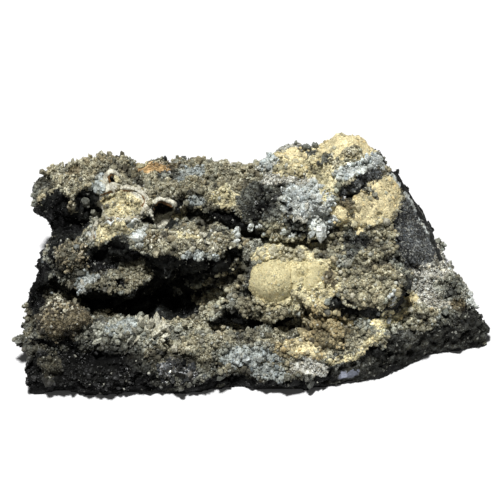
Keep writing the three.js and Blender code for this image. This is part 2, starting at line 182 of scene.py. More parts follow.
# Where each coat lies: what it covers, its coat, its middle and its reach along X, Y and Z. Later ones lie
# on top.
Patch = namedtuple("Patch", "what coat middle reach")
PATCHES = [
    Patch("rear left top", "tan_druse", (-80, 40, 51), (30, 17, 7)),
    Patch("rear middle top", "tan_druse", (-20, 32, 49), (42, 18, 7)),
    Patch("rear middle, grey", "grey_druse", (-38, 38, 49), (8, 5, 5)),
    Patch("rear middle, cream", "cream_crust", (-13, 24, 47), (8, 4, 5)),
    Patch("rear middle, cream lower", "cream_crust", (-32, 18, 44), (9, 3, 4)),
    Patch("left flank", "sphalerite", (-101, 4, 22), (7, 24, 18)),
    Patch("rear left riser", "sphalerite", (-90, 20, 37), (15, 9, 12)),
    Patch("rear left foot", "sphalerite", (-90, 14, 32), (12, 8, 7)),
    Patch("blue ridge", "blue_crust", (-70, 29, 51), (5.4, 6.5, 5)),
    Patch("vug block front", "cream_crust", (-66, 9, 42), (11, 5, 6)),
    Patch("vug block, left shell", "white_crust", (-74, 11, 39), (1.6, 5, 6)),
    # Painted shade: black ore painted where the vug block lies in shade.
    Patch("vug block shade", "sphalerite", (-60, 1, 36), (13, 4, 7)),
    Patch("rear left riser, top", "sphalerite", (-93, 24, 44), (12, 6.5, 6)),
    Patch("ridge by the hole", "tan_druse", (-82, 25, 45), (2.4, 6, 6)),
    # Painted shade: black ore painted into the gap between the ledges.
    Patch("ledge gap", "sphalerite", (-52, 0, 36), (3.6, 6, 8)),
    # Painted shade: black ore painted into the hollow by the galena.
    Patch("hollow by the galena", "sphalerite", (-37, -36, 13.5), (6.5, 4, 4)),
    Patch("front left ridge", "grey_druse", (-62, -32, 18), (21, 9, 6)),
    Patch("front left ridge, white", "blue_crust", (-62, -29, 19), (10, 5, 4)),
    # Painted shade: black ore painted into the hole.
    Patch("black hole", "sphalerite", (-77, 26, 45.5), (5.2, 4.4, 6)),
    Patch("eye vug filling", "cream_crust", (-61, 21, 45), (11, 6, 6)),
    Patch("small vug", "cream_crust", (-65, 32, 50), (4, 4, 4)),
    # Painted shade: black ore painted into the second vug's hole.
    Patch("second vug hole", "sphalerite", (-42, 17, 38), (8, 6, 5)),
    Patch("orange stain", "orange_stain", (-46, 43, 47.5), (9, 5, 4)),
    Patch("pale crust by the stain", "cream_crust", (-52, 47, 46), (4, 3, 4)),
    Patch("dark specks", "dark_druse", (-41, 37.5, 48), (4, 2.2, 4)),
    Patch("rear dark band", "sphalerite", (-35, 22, 46), (8, 2.2, 3)),
    # Painted shade: black ore painted into the rear hollow.
    Patch("rear dark hollow", "sphalerite", (-13, 18, 44), (7, 2.5, 4)),
    Patch("blue crust, rear", "blue_crust", (-28, 37, 50), (7, 4, 3)),
    Patch("blue crust, front", "blue_crust", (-27, 22, 48), (5, 2.5, 3)),
    Patch("recess", "dark_druse", (3, 20, 51), (10, 11, 8)),
    # Painted shade: black ore painted into the recess.
    Patch("recess, dark", "sphalerite", (4, 17, 51), (4, 3, 4)),
    Patch("brow", "white_quartz", (25, 15, 57), (13, 11, 9)),
    Patch("brow edge", "white_quartz", (32, 8, 49), (10, 6, 4)),
    Patch("beads below the brow", "bead_crust", (12, 8, 45), (15, 5, 4)),
    Patch("back wall", "cream_crust", (13, 0, 39), (20, 6, 5)),
    Patch("back wall, right", "bead_crust", (38, 1, 40), (9, 7, 6)),
    Patch("upper ledge", "tan_druse", (-32, 1, 44), (24, 9, 4)),
    Patch("upper ledge, cream", "cream_crust", (-28, 3, 45), (8, 3, 3)),
    Patch("upper ledge lip", "blue_crust", (-30, -6, 41.5), (20, 2.2, 2.5)),
    Patch("upper ledge tip", "white_quartz", (-51, 4, 42), (4, 4, 4)),
    Patch("lower ledge", "tan_druse", (-67, -4, 28), (21, 8, 4)),
    Patch("left of the nodule", "sphalerite", (-97, -3, 27), (6, 9, 7)),
    Patch("right of the nodule", "sphalerite", (-70, 1.5, 30), (10, 4.5, 5)),
    Patch("nodule", "tan_druse", (-84, 3, 32), (7, 7.5, 6)),
    Patch("lower ledge, blue", "blue_crust", (-77, -8.5, 28), (6.5, 5, 4)),
    Patch("lower ledge, white", "white_quartz", (-75, -10, 27.5), (4, 3, 3)),
    Patch("dark spot, lower ledge", "sphalerite", (-61.5, -9, 27.5), (2.4, 2.4, 3)),
    Patch("below the nodule", "grey_druse", (-86, -4, 27), (9, 4, 5)),
    # Painted shade: black ore painted over the floor of the shaded cavity.
    Patch("cavity", "sphalerite", (-50, -6, 8), (34, 10, 10)),
    Patch("lower left nodule", "brown_druse", (-87, -27, 23), (13, 10, 7)),
    Patch("front left face", "dark_druse", (-78, -47, 12), (32, 9, 9)),
    Patch("front left face, left", "tan_druse", (-92, -44, 10), (6, 5, 5)),
    # Painted shade: black ore painted into the front left hollow.
    Patch("front left hollow", "sphalerite", (-62, -40, 12), (10, 3, 3)),
    Patch("front left foot", "sphalerite", (-78, -51, 3), (36, 7, 4.5)),
    Patch("galena patch", "galena", (-34, -46, 10), (10, 5, 5)),
    Patch("middle ridge, left", "bead_crust", (-17, -7, 13), (12, 5, 5)),
    Patch("middle ridge", "bead_crust", (5, -22, 25), (19, 7, 6)),
    Patch("left of the dome", "bead_crust", (-9, -5, 27), (7, 8, 9)),
    Patch("crust right of the dome", "clean_cream", (28, -12, 35), (15, 12, 9)),
    Patch("crust below the dome", "clean_cream", (21, -20, 30), (15, 5.5, 6)),
    Patch("dome", "yellow_dome", (8.5, -13.5, 35), (12, 9.5, 9)),
    Patch("lobe by the dome", "yellow_dome", (21, -8, 37.5), (5.5, 4.4, 5)),
    Patch("lobe further right", "yellow_dome", (28.5, -9, 37.6), (5.5, 4.4, 5)),
    Patch("lobe below", "yellow_dome", (26, -15, 35), (4.8, 4.4, 4)),
    Patch("lobe by the knob", "brown_druse", (35, -14, 36.5), (3.2, 4, 4)),
    Patch("knob", "bead_crust", (53, -17, 38), (15, 13, 12)),
    Patch("below the knob", "clean_cream", (60, -26, 23), (8, 4.5, 5)),
    Patch("tongue", "ochre_crust", (32, -28, 20), (13, 13, 10)),
    Patch("front shelf", "tan_druse", (-10, -38, 14), (36, 8, 4)),
    Patch("front shelf, grey", "grey_druse", (-2, -40, 14), (17, 6, 5)),
    Patch("front shelf, blue", "blue_crust", (-2, -42, 14), (15, 5.5, 4)),
    Patch("front shelf, white", "white_quartz", (-3, -44, 13.5), (9, 3, 3)),
    Patch("front shelf, white lower", "blue_crust", (10, -47, 10), (10, 3.4, 4)),
    Patch("front shelf, cream", "ochre_crust", (22, -37, 15), (14, 5, 4)),
    Patch("front shelf, clay", "clay_coat", (25, -38, 14.5), (7, 2.4, 3)),
    Patch("front shelf, pale foot", "peppered_druse", (27, -44, 11), (11, 3.4, 3.4)),
    Patch("right slope", "peppered_druse", (86, 2, 20), (22, 20, 12)),
    Patch("right slope pocket", "clay_coat", (72.5, -13.5, 22), (6, 5, 4)),
    Patch("right slope foot", "grey_druse", (88, -17, 12), (17, 7, 5)),
    Patch("right slope, far", "grey_druse", (91, -5, 18), (9, 7, 6)),
    # Painted shade: black ore painted into the hole in the right slope.
    Patch("right slope hole", "sphalerite", (94, -13, 16), (4, 3, 4)),
    Patch("front right face", "flecked_ore", (77, -31, 8), (36, 9, 10)),
    Patch("front right face, left", "flecked_ore", (46, -43, 8), (16, 5, 8)),
    Patch("right tip", "flecked_ore", (103, -18, 8), (10, 10, 8)),
    Patch("right shoulder", "bead_crust", (58, 3, 41), (11, 7, 5)),
    Patch("right shoulder, dark", "dark_druse", (46, 2, 42), (7, 7, 5)),
    Patch("right triangle", "slate_ore", (75, 15, 36), (12, 20, 13)),
    Patch("rear right top, mixed", "peppered_druse", (16, 36, 59), (20, 14, 9)),
    Patch("rear right top, cream", "cream_crust", (22, 36, 60), (15, 10, 8)),
    Patch("rear right top, clay", "clay_coat", (18, 41, 60), (7, 5, 4)),
    Patch("rear right, black specks", "dark_druse", (26, 40, 60), (2.4, 4, 4)),
    Patch("rear right, black specks 2", "dark_druse", (33, 36, 62), (2.2, 3.5, 4)),
    Patch("coat, left", "clean_cream", (34, 23, 60), (5, 10, 6)),
    Patch("coat, right", "clay_coat", (61, 24, 51), (9, 9, 9)),
    Patch("coat, lower", "clay_coat", (51, 14, 50), (16, 9, 9)),
    Patch("coat, lower hollow", "tan_druse", (43, 18, 54), (3, 2.5, 3)),
    Patch("top coat", "clay_coat", (43, 50, 64), (17, 17, 14)),
    Patch("coat, poking crystals", "tan_druse", (44, 37, 64.5), (4.5, 3.4, 4)),
    Patch("coat, crystals at the foot", "bead_crust", (60, 9, 43), (9, 3.4, 4)),
    Patch("below the coat", "bead_crust", (44, 11.5, 44.7), (6, 2.6, 2.4)),
    Patch("riser, lower end", "brown_druse", (41, 16, 56.5), (3.6, 2.6, 4)),
    Patch("rear right, blue", "white_quartz", (6, 37, 58), (5, 5, 4)),
    Patch("grey right rim", "white_crust", (63, 42, 57), (4, 6, 6)),
    Patch("front ridge lip", "grey_druse", (-60, -35, 17), (18, 2.5, 3)),
]

# A narrow band of a coat that follows a line over the skin, with its half width.
Band = namedtuple("Band", "what coat line reach")
BANDS = [
    Band("edge, upper", "smooth_ore", [(62, 40, 57), (67, 35, 52), (71, 32, 44), (77, 27.5, 37)], 4.3),
    Band("edge, lower", "smooth_ore", [(77, 27.5, 37), (80, 25, 31), (84, 18, 29), (88, 11, 23)], 4.3),
    Band("triangle line", "white_crust", [(57, 34, 59), (62, 33, 55.5), (68, 30, 47), (76, 24, 37)], 1.0),
    Band("triangle line, lower end", "white_crust", [(76, 24, 37), (79, 18, 31)], 0.7),
    Band("riser, left", "slate_ore", [(42, 17.5, 58), (45, 20, 59), (49.5, 24.5, 59)], 3.1),
    Band("riser, right", "slate_ore", [(49.5, 24.5, 59), (53, 27.5, 59.5), (56, 30, 59)], 3.1),
    Band("riser, foot", "sphalerite", [(43, 16.5, 56.5), (47, 19.5, 57), (52, 23.5, 57.5)], 1.1),
    Band("vein", "white_quartz", [(38, 24, 64), (46, 29, 63), (53, 33.5, 62), (58, 37, 60)], 3.0),
    Band("vein, core", "white_crust", [(40, 25, 64), (46, 29, 63), (53, 33.5, 62), (58, 38, 60)], 1.7),
    # Painted shadow: black ore painted along the seam where the shoulder casts its shadow.
    Band("seam", "sphalerite", [(69.6, -0.3, 36), (68, -16.4, 37.8)], 1.4),
    Band("cream edge", "cream_crust", [(34.5, -42.5, 12.5), (46, -41.3, 13.8), (51.5, -37.5, 19)], 1.8),
    Band("cream edge, right", "cream_crust", [(51.5, -37.5, 19), (62.5, -31, 21), (68.5, -22, 21)], 1.8),
    Band("cream edge, far end", "cream_crust", [(68.5, -22, 21), (72, -18, 21)], 1.8),
    Band("cleaved face", "cleaved_face", [(40, -44.8, 5.5), (46, -44.2, 5.9)], 1.9),
]

# A vug: its middle, its reach along X and Y, how high its lip and how deep its hollow are, how far a pale
# shell reaches round it, and the coat that lines it.
Vug = namedtuple("Vug", "what middle reach lip depth shell lining")
VUGS = [
    Vug("eye", (-61, 20.8, 46.6), (11.4, 7.8), 0.4, 1.0, 1.1, "clean_cream"),
    # The black ore lining the second and the small vug is painted shade inside their holes.
    Vug("second vug", (-42, 18.8, 45), (5.5, 4.5), 0.5, 2.8, 1.25, "sphalerite"),
    Vug("small vug", (-65, 31.5, 52), (2.8, 3.6), 0.5, 2.6, 1.5, "sphalerite"),
    Vug("rear pit", (-83, 38, 50), (4.4, 3.4), 0.9, 2.2, 0.0, "brown_druse"),
    Vug("ledge pit", (-46, 3, 43), (3.4, 2.6), 0.7, 2.0, 0.0, "brown_druse"),
    Vug("stain pit", (-36, 44, 49), (3.8, 3.0), 0.8, 2.2, 0.0, "brown_druse"),
    Vug("slope pit", (94, -13, 16), (4.2, 3.4), 0.6, 2.6, 0.0, "brown_druse"),
]

# A crusty lip round part of a vug: its turn from and to in degrees, counted from the right, its thickness
# and its mineral.
Rim = namedtuple("Rim", "what middle reach turn_from turn_to thickness mineral")
RIMS = [
    Rim("eye, upper lip", (-61, 20.8, 47), (11.4, 8.0), -50, 150, 0.95, "shell_carbonate"),
    Rim("eye, lower lip", (-61, 20.3, 46), (11, 7.6), 235, 315, 0.65, "milky_quartz"),
    Rim("second vug", (-42, 18.4, 45.5), (6.0, 5.0), 5, 185, 0.7, "shell_carbonate"),
    Rim("small vug", (-64.8, 31, 52), (3.2, 4.2), 20, 320, 0.7, "shell_carbonate"),
    Rim("shell on the vug block", (-70, 10.5, 41), (4.6, 5.5), 110, 240, 0.6, "shell_carbonate"),
]

# A swelling of the skin, or a hollow where the rise is negative: its middle, its reach along X, Y and Z and
# its rise.
Lump = namedtuple("Lump", "what middle reach rise")
LUMPS = [
    Lump("dome", (8.5, -13.5, 34), (13.5, 11, 13), 4.2),
    Lump("lobe by the dome", (21, -8, 37.5), (5, 4.6, 6), 2.8),
    Lump("lobe further right", (28.5, -9, 37.6), (4.8, 4.4, 6), 2.6),
    Lump("lobe by the knob", (35, -14, 36.5), (4.2, 4.6, 6), 2.4),
    Lump("lobe below", (26, -15.5, 35), (4.4, 4, 6), 2.4),
    Lump("lobe lower still", (19, -19, 33), (4.4, 4, 6), 2.4),
    Lump("root of the tongue", (31, -24, 26), (11, 7, 8), 4.5),
    Lump("left of the dome", (-7, -9, 27), (7, 6, 8), 2.5),
    Lump("clay below the riser", (43, 12, 50), (9, 7, 9), 4.0),
    Lump("below the knob", (54, -27, 23), (9, 5, 6), 3.0),
    Lump("lower left knob, upper", (-90, -21, 24), (5, 4.5, 6), 2.2),
    Lump("lower left knob, right", (-81, -29, 24), (5, 4.5, 6), 2.2),
    Lump("lower left knob, left", (-93, -31, 22), (5, 4.5, 6), 2.2),
    Lump("pit of the lower left knobs", (-87, -27, 24), (3.4, 3.4, 5), -3.0),
    Lump("nodule", (-84, 2, 32), (7, 6.5, 8), 5.0),
    Lump("small nodule", (-79, -3, 28), (5, 4, 6), 2.5),
    Lump("lower left nodule", (-87, -27, 24), (13, 11, 10), 4.0),
    Lump("front left ridge", (-58, -32, 19), (15, 7, 8), 2.0),
    Lump("eye", (-61, 21, 46), (13, 10, 10), 2.5),
    Lump("mound", (-70, 30, 50), (4.5, 6, 6), 2.5),
    Lump("front left face", (-66, -47, 9), (8, 5, 4), 2.6),
    Lump("front left face, left", (-90, -46, 11), (7, 5, 5), 2.4),
    Lump("front left face, right", (-50, -46, 8), (6, 5, 4), 2.0),
    Lump("black hole", (-77, 26.5, 46), (5, 4.5, 7), -4.0),
    Lump("ridge by the hole", (-82, 25, 44), (3, 5, 6), 2.0),
    Lump("hole below the second vug", (-42, 18, 40), (7, 5, 5), -4.0),
    Lump("hollow by the galena", (-37, -35, 14), (7, 4.5, 5), -3.5),
    Lump("hollow under the middle ridge", (-25, -22, 9), (10, 6, 6), -3.0),
    Lump("tongue gap", (25, -31, 19), (3.4, 6, 6), -3.5),
    Lump("front right pit", (62, -30, 20), (4.5, 4, 5), -3.0),
    Lump("front right pit, far", (76, -26, 17), (5, 3.5, 5), -2.5),
    Lump("ledge gap", (-52, 0, 36), (4, 6, 8), -4.0),
    Lump("upper ledge crown", (-30, 1, 44), (16, 7, 6), 1.5),
    Lump("brow", (25, 14, 57), (10, 9, 9), 2.0),
    Lump("rear knob", (10, 38, 58), (9, 8, 8), 2.0),
    Lump("peak, right", (48, 46, 63), (7, 6, 8), 2.4),
    Lump("shoulder of the peak", (66, 39, 58), (7.5, 7.5, 7.5), -4.5),
    Lump("middle rear lump", (-15, 28, 48), (9, 7, 7), 2.0),
    Lump("middle rear lump, left", (-30, 33, 48), (7, 6, 7), 1.5),
    Lump("right slope", (84, 6, 25), (10, 9, 8), 1.5),
    Lump("hollow of the recess", (4, 21, 52), (8, 4, 6), -3.0),
    Lump("tongue", (34, -33, 20), (8, 8, 6), 2.5),
    Lump("cream shelf", (22, -38, 14), (9, 4, 4), 1.8),
    Lump("riser by the vein", (52, 25, 58.5), (8, 3.4, 5), -2.5),
]

# A notch that cuts into the left end: the line it follows, its half width and its depth.
Notch = namedtuple("Notch", "what line reach depth")
NOTCHES = [
    Notch("rear", [(-104, 45, -1), (-104, 8, 43)], 9.8, 9.0),
    Notch("front", [(-108, -46, 18), (-108, -30, -1)], 6.0, 5.0),
]

# A crevice between lumps, sunk into the skin and darkened with painted shade: the line it follows and its
# half width.
Crevice = namedtuple("Crevice", "what line reach")
CREVICES = [
    Crevice("middle rear", [(-39, 23.6, 47), (-29, 23.7, 48)], 0.9),
    Crevice("middle rear, lower", [(-20, 18.5, 44.4), (-11.6, 17.2, 44.4), (-4, 10.6, 45.7)], 1.6),
    Crevice("beside the recess", [(-4, 20.8, 50), (-0.6, 13, 48.5), (1.2, 8.6, 41.7)], 1.6),
    Crevice("by the small vug", [(-54, 35.4, 49), (-52, 25.3, 51.7)], 0.9),
    Crevice("right shoulder", [(41.4, -5.4, 43), (46.4, -8.3, 40.7), (51, -6.5, 41.5)], 1.0),
    Crevice("middle ridge", [(-11, -17, 9), (2, -24.5, 16.7), (14, -23, 12.6), (24, -27.8, 19.6)], 1.5),
    Crevice("middle ridge, right", [(18.2, -19.3, 31.3), (22, -22, 28.3), (24.3, -20.7, 19.3)], 1.1),
    Crevice("recess", [(5.6, 21, 56.7), (11, 15.8, 55.7), (16.5, 9.6, 54.5)], 1.3),
    Crevice("front left", [(-75.4, -42, 11), (-67, -45.7, 12.3), (-59, -47, 12.8)], 1.8),
    Crevice("by the lower left knobs", [(-83.8, -35, 20.8), (-82, -38, 14), (-80, -42.7, 11.3)], 1.8),
    Crevice("lower left", [(-102, -43.4, 9.3), (-94, -48, 11), (-86.5, -49.4, 9)], 1.5),
    Crevice("black hollow", [(-31.3, -20.7, 9.8), (-25.8, -22.7, 9.3), (-20.7, -25.3, 9.8)], 1.6),
    Crevice("middle ridge, left", [(-26, -10, 10), (-19, -13, 9)], 1.4),
    Crevice("front ridge gap", [(-46.7, -34.5, 18.7), (-42.2, -37, 17.2)], 1.2),
    Crevice("front left ridge", [(-75, -40, 14), (-64.8, -43, 14.6), (-51.2, -42.5, 16.5)], 2.2),
    Crevice("above the galena", [(-41.4, -39.5, 16), (-35, -40, 14), (-28.7, -42, 13)], 3.0),
    Crevice("right of the spray", [(-44, -31.5, 17), (-39.9, -29.5, 13), (-34.5, -25, 10)], 2.2),
    Crevice("right slope foot", [(67.5, -26, 19.3), (73, -21.7, 21.3), (79.5, -23.6, 16.3)], 1.2),
    Crevice("right slope foot, far", [(84, -12, 20), (87, -19.1, 16.6), (92.8, -21.2, 11.8)], 1.4),
    Crevice("near the peak", [(21.3, 43.5, 59), (24.8, 35, 61.7), (26.7, 29, 59.7)], 0.8),
    Crevice("below the eye", [(-57.2, 10.6, 44.4), (-51.7, 9.5, 43.7)], 1.1),
    Crevice("right slope", [(71.5, -1.2, 32.2), (78.9, -1.3, 23.1)], 1.0),
    Crevice("right slope, far", [(88.9, 7.9, 17), (92.8, -3.7, 18.7)], 0.9),
]

# Painted light and shade: where the rock's colour is painted darker, as shade, or lighter, as light, than
# elsewhere: its middle, its reach and the share of its colour that is left there, more than one where lit.
Shade = namedtuple("Shade", "what middle reach tone")
SHADES = [
    Shade("lower left", (-84, -28, 15), (34, 28, 26), 0.5),
    Shade("front left foot", (-80, -48, 7), (50, 17, 15), 0.02),
    Shade("front left ridge, below", (-64, -41, 13), (34, 5, 8), 0.5),
    Shade("rear left riser", (-94, 20, 38), (14, 10, 12), 0.25),
    Shade("lower ledge", (-68, -5, 28), (26, 13, 9), 0.66),
    Shade("nodule", (-85, 2, 31), (12, 12, 8), 0.38),
    Shade("front shelf", (-12, -39, 12), (28, 11, 10), 0.8),
    Shade("front foot", (10, -50, 4), (60, 9, 9), 0.3),
    Shade("below the dome", (0, -24, 20), (34, 10, 9), 0.68),
    Shade("below the knob", (59, -27, 26), (11, 8, 9), 1.9),
    Shade("right slope", (82, 6, 25), (15, 13, 12), 1.45),
    Shade("right slope, far", (90, -6, 18), (10, 9, 8), 0.8),
    Shade("vein", (49, 31, 63), (12, 9, 6), 1.35),
    Shade("right slope foot", (92, -21, 9), (22, 11, 8), 0.35),
    Shade("recess", (5, 17, 50), (13, 9, 9), 0.8),
    Shade("rear middle", (-20, 30, 48), (34, 16, 10), 0.86),
    Shade("tongue", (34, -31, 18), (13, 9, 8), 0.75),
    Shade("riser foot", (-20, 17, 44), (30, 4, 6), 0.6),
    Shade("front right foot", (75, -38, 4), (45, 10, 6), 0.4),
    Shade("second vug", (-42, 17, 42), (7, 5, 5), 0.5),
]

# The pale veins in the ore of the right wall: their middle, their reach and how clear they are there.
VEINED_ORE = Shade("right triangle", (74, 14, 36), (16, 20, 16), 0.5)

# Scattered pits: their spacing, the share of places that have one and their common radius in spacings.
PIT_SIZE = 5.4
PIT_SHARE = 0.42
PIT_RADIUS = 0.34
# How far a pit and a crevice sink the skin, and how much of its colour each takes away as painted shade.
PIT_DROP = 1.8
CREVICE_DROP = 2.4
PIT_SHADE = 0.85
CREVICE_SHADE = 0.88
# Painted light and shade: the light level of level skin, how much it gains for each millimetre of rise, and
# its limits.
LEVEL_LIGHT = 0.60
RISE_LIGHT = 0.60
DARKEST_SHADE = 0.05
BRIGHTEST_LIGHT = 1.12
# How far up the skin has to face where grey druse, tan druse and the patches of crust can lie.
GREY_FACING = 0.45
TAN_FACING = 0.55
PATCH_FACING = -0.25
# How far the edges of patches and of bands wander from their true line, in broad bends and in fine teeth.
PATCH_BENDS = 2.6
PATCH_TEETH = 0.8
BAND_BENDS = 0.9
BAND_TEETH = 0.7
# The height below which no druse grows, the height of the foot that has no relief, and the height over
# which relief fades in above it.
UNDERSIDE = 3.0
FLAT_FOOT = 0.6
FOOT_FADE = 5.0
# The way up across a vug's mouth and the way out of it, and how far it reaches into the rock.
VUG_ACROSS = (0.0, 0.83, 0.55)
VUG_OUTWARD = (0.0, -0.55, 0.83)
VUG_REACH = 6.0
# The width of a vug's lip as a share of its reach, where its lining ends on the way to the lip, and how
# many thicknesses of shell lie beside a rim.
LIP_WIDTH = 0.16
LINING_EDGE = 0.92
RIM_SKIRT = 1.6
# The points along a rim's line, and how many steps apart are those that the painting of its shell uses.
RIM_STEPS = 110
RIM_STRIDE = 10


def closeness(points, place):
    """1 in the middle of a place, falling to 0 at its reach."""
    return np.clip(1.0 - np.sum(((points - place.middle) / place.reach) ** 2, axis=1), 0.0, 1.0)


def coat_values(key, coats):
    """What the coat at each point has for one of its values."""
    return np.array([getattr(coat, key) for coat in COATS])[coats]


def pit_depth(points):
    """1 in the middle of a scattered small pit, 0 outside all of them."""
    warped = points + 0.9 * wander(points, smooth_noise, 2.5, seed=81)
    _, distance, cell = nearest_cells(warped, PIT_SIZE, 84)
    sizes = PIT_RADIUS * np.random.default_rng(85).uniform(0.5, 1.3, LATTICE**3)[cell]
    open_cells = np.random.default_rng(86).random(LATTICE**3)[cell] < PIT_SHARE
    return np.clip(2.0 - 2.0 * distance / sizes, 0.0, 1.0) * open_cells


def cleanness(points, rise, pits):
    """Painted light and shade at each point: darker in hollows, in pits and in shaded places, lighter on
    rises and in lit places.
    """
    light_level = np.clip(LEVEL_LIGHT + RISE_LIGHT * rise, DARKEST_SHADE, BRIGHTEST_LIGHT) * (1.0 - PIT_SHADE * pits)
    for shade in SHADES:
        away = np.linalg.norm((points - shade.middle) / shade.reach, axis=1)
        light_level *= 1.0 - (1.0 - shade.tone) * np.clip(2.2 - 2.0 * away, 0.0, 1.0)
    return light_level


def crevice_share(points):
    """1 in the middle of the crevices, 0 outside them."""
    warped = points + 1.4 * wander(points, rough_noise, 5.0, seed=46)
    shares = [1.5 - line_distance(warped, crevice.line) / crevice.reach for crevice in CREVICES]
    return np.clip(np.max(shares, axis=0), 0.0, 1.0)


def swelling(points):
    """How far the lumps, hollows and vugs move each point along its normal."""
    rise = np.zeros(len(points))
    for lump in LUMPS:
        rise += lump.rise * closeness(points, lump) ** 1.3
    for vug in VUGS:
        distance = vug_distance(points, vug)
        rise += vug.lip * np.exp(-(((distance - 1.0) / LIP_WIDTH) ** 2))
        rise -= vug.depth * np.clip(1.6 - 2.0 * distance, 0.0, 1.0)
    return rise


def notch_depth(points):
    """How far in from the left the notches move each point."""
    depth = np.zeros(len(points))
    for notch in NOTCHES:
        away = line_distance(points, notch.line) / notch.reach
        depth += notch.depth * np.clip(1.0 - away**2, 0.0, 1.0)
    return depth


def vug_distance(points, vug):
    """How far points lie from a vug's middle, 1 on its lip."""
    away = (points - vug.middle) / (*vug.reach, VUG_REACH)
    away[:, 0] += 0.12 * smooth_noise(points, 3.0, seed=71)
    away[:, 1] += 0.12 * smooth_noise(points, 3.0, seed=72)
    return np.linalg.norm(away, axis=1)


def line_distance(points, line):
    """How far points lie from a line through the given corners."""
    best = np.full(len(points), np.inf)
    for start, end in zip(line, line[1:]):
        way = np.subtract(end, start)
        share = np.clip((points - start) @ way / (way @ way), 0.0, 1.0)
        best = np.minimum(best, np.linalg.norm(points - start - share[:, None] * way, axis=1))
    return best


def rim_ring(rim):
    """The way out from a vug's middle and the line of its rim, step by step round the turn."""
    turns = np.radians(np.linspace(rim.turn_from, rim.turn_to, RIM_STEPS))
    across = np.sin(turns)[:, None] * VUG_ACROSS
    outward = np.cos(turns)[:, None] * (1.0, 0.0, 0.0) + across
    ring = np.array(rim.middle) + outward * rim.reach[0]
    ring -= across * (rim.reach[0] - rim.reach[1])
    return outward, ring + 1.2 * outward * rough_noise(ring, 6.0, seed=91)[:, None]


def coat_numbers(points, normals):
    """Each point's coat number: druse where the rock faces up, else bare ore, then what is laid on top."""
    facing = normals[:, 2] + 0.35 * rough_noise(points, 9.0, seed=11)
    number = np.full(len(points), COAT_NUMBER["sphalerite"])
    number[facing > GREY_FACING] = COAT_NUMBER["grey_druse"]
    number[(facing > TAN_FACING) & (rough_noise(points, 14.0, seed=21) > 0.0)] = COAT_NUMBER["tan_druse"]
    bends = wander(points, rough_noise, 7.0, seed=31)
    teeth = wander(points, smooth_noise, 1.8, seed=36)
    wandering = points + PATCH_BENDS * bends + PATCH_TEETH * teeth
    for patch in PATCHES:
        inside = closeness(wandering, patch) > 0.0
        bare = COATS[COAT_NUMBER[patch.coat]].relief == "broken"
        number[inside if bare else inside & (facing > PATCH_FACING)] = COAT_NUMBER[patch.coat]
    wandering = points + BAND_BENDS * bends + BAND_TEETH * teeth
    for band in BANDS:
        number[line_distance(wandering, band.line) < band.reach] = COAT_NUMBER[band.coat]
    for vug in VUGS:
        distance = vug_distance(points, vug)
        number[distance < vug.shell] = COAT_NUMBER["shell_crust"]
        number[distance < LINING_EDGE] = COAT_NUMBER[vug.lining]
    for rim in RIMS:
        _, ring = rim_ring(rim)
        beside = line_distance(points, ring[::RIM_STRIDE]) < RIM_SKIRT * rim.thickness
        number[beside] = COAT_NUMBER["shell_crust"]
    number[(points[:, 2] < UNDERSIDE) & (normals[:, 2] < 0.0)] = COAT_NUMBER["sphalerite"]
    return number


# ---------------------------------------------------------------- meshes


def make_mesh(name, vertices, faces, material, smooth, floats=(), colours=(), plan=None):
    """A mesh object from millimetre vertices, with its attributes, its bake map and its material."""
    mesh = bpy.data.meshes.new(name)
    count, sides = faces.shape
    mesh.vertices.add(len(vertices))
    mesh.vertices.foreach_set("co", (vertices * MM).astype(np.float32).ravel())
    mesh.loops.add(count * sides)
    mesh.loops.foreach_set("vertex_index", faces.astype(np.int32).ravel())
    mesh.polygons.add(count)
    mesh.polygons.foreach_set("loop_start", np.arange(0, count * sides, sides, dtype=np.int32))
    mesh.update(calc_edges=True)
    for label, values in dict(floats).items():
        layer = mesh.attributes.new(label, "FLOAT", "POINT")
        layer.data.foreach_set("value", values.astype(np.float32))
    for label, values in dict(colours).items():
        layer = mesh.attributes.new(label, "FLOAT_COLOR", "POINT")
        rgba = np.column_stack([values, np.ones(len(values))])
        layer.data.foreach_set("color", rgba.astype(np.float32).ravel())
    if plan is not None:
        layer = mesh.uv_layers.new(name="OFBake")
        layer.data.foreach_set("uv", plan.astype(np.float32).ravel())
    if not smooth:
        mesh.shade_flat()
    mesh.materials.append(material)
    piece = bpy.data.objects.new(name, mesh)
    bpy.context.scene.collection.objects.link(piece)
    return piece


def settle(piece):
    """Ties a finished piece to the rock's body, in place of the plain solid."""
    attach(piece, BODY)
    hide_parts(NODE)


def mesh_arrays(mesh):
    """Vertices in millimetres, triangles and vertex normals of a mesh."""
    mesh.calc_loop_triangles()
    points = np.zeros((len(mesh.vertices), 3), np.float32)
    mesh.vertices.foreach_get("co", points.ravel())
    normals = np.zeros((len(mesh.vertices), 3), np.float32)
    mesh.vertices.foreach_get("normal", normals.ravel())
    triangles = np.zeros((len(mesh.loop_triangles), 3), np.int32)
    mesh.loop_triangles.foreach_get("vertices", triangles.ravel())
    return points.astype(float) / MM, triangles, normals.astype(float)


def point_values(mesh, label):
    """One attribute of a mesh, a value for each vertex."""
    values = np.zeros(len(mesh.vertices), np.float32)
    mesh.attributes[label].data.foreach_get("value", values)
    return values


def remeshed_solid(cell):
    """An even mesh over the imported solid, with cells of the given size in metres."""
    copy = bpy.data.objects.new("even_skin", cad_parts[NODE].data.copy())
    bpy.context.scene.collection.objects.link(copy)
    remesh = copy.modifiers.new("Even skin", "REMESH")
    remesh.mode = "VOXEL"
    remesh.voxel_size = cell
    depsgraph = bpy.context.evaluated_depsgraph_get()
    skin = bpy.data.meshes.new_from_object(copy.evaluated_get(depsgraph))
    bpy.data.objects.remove(copy)
    return skin


# ---------------------------------------------------------------- crystals

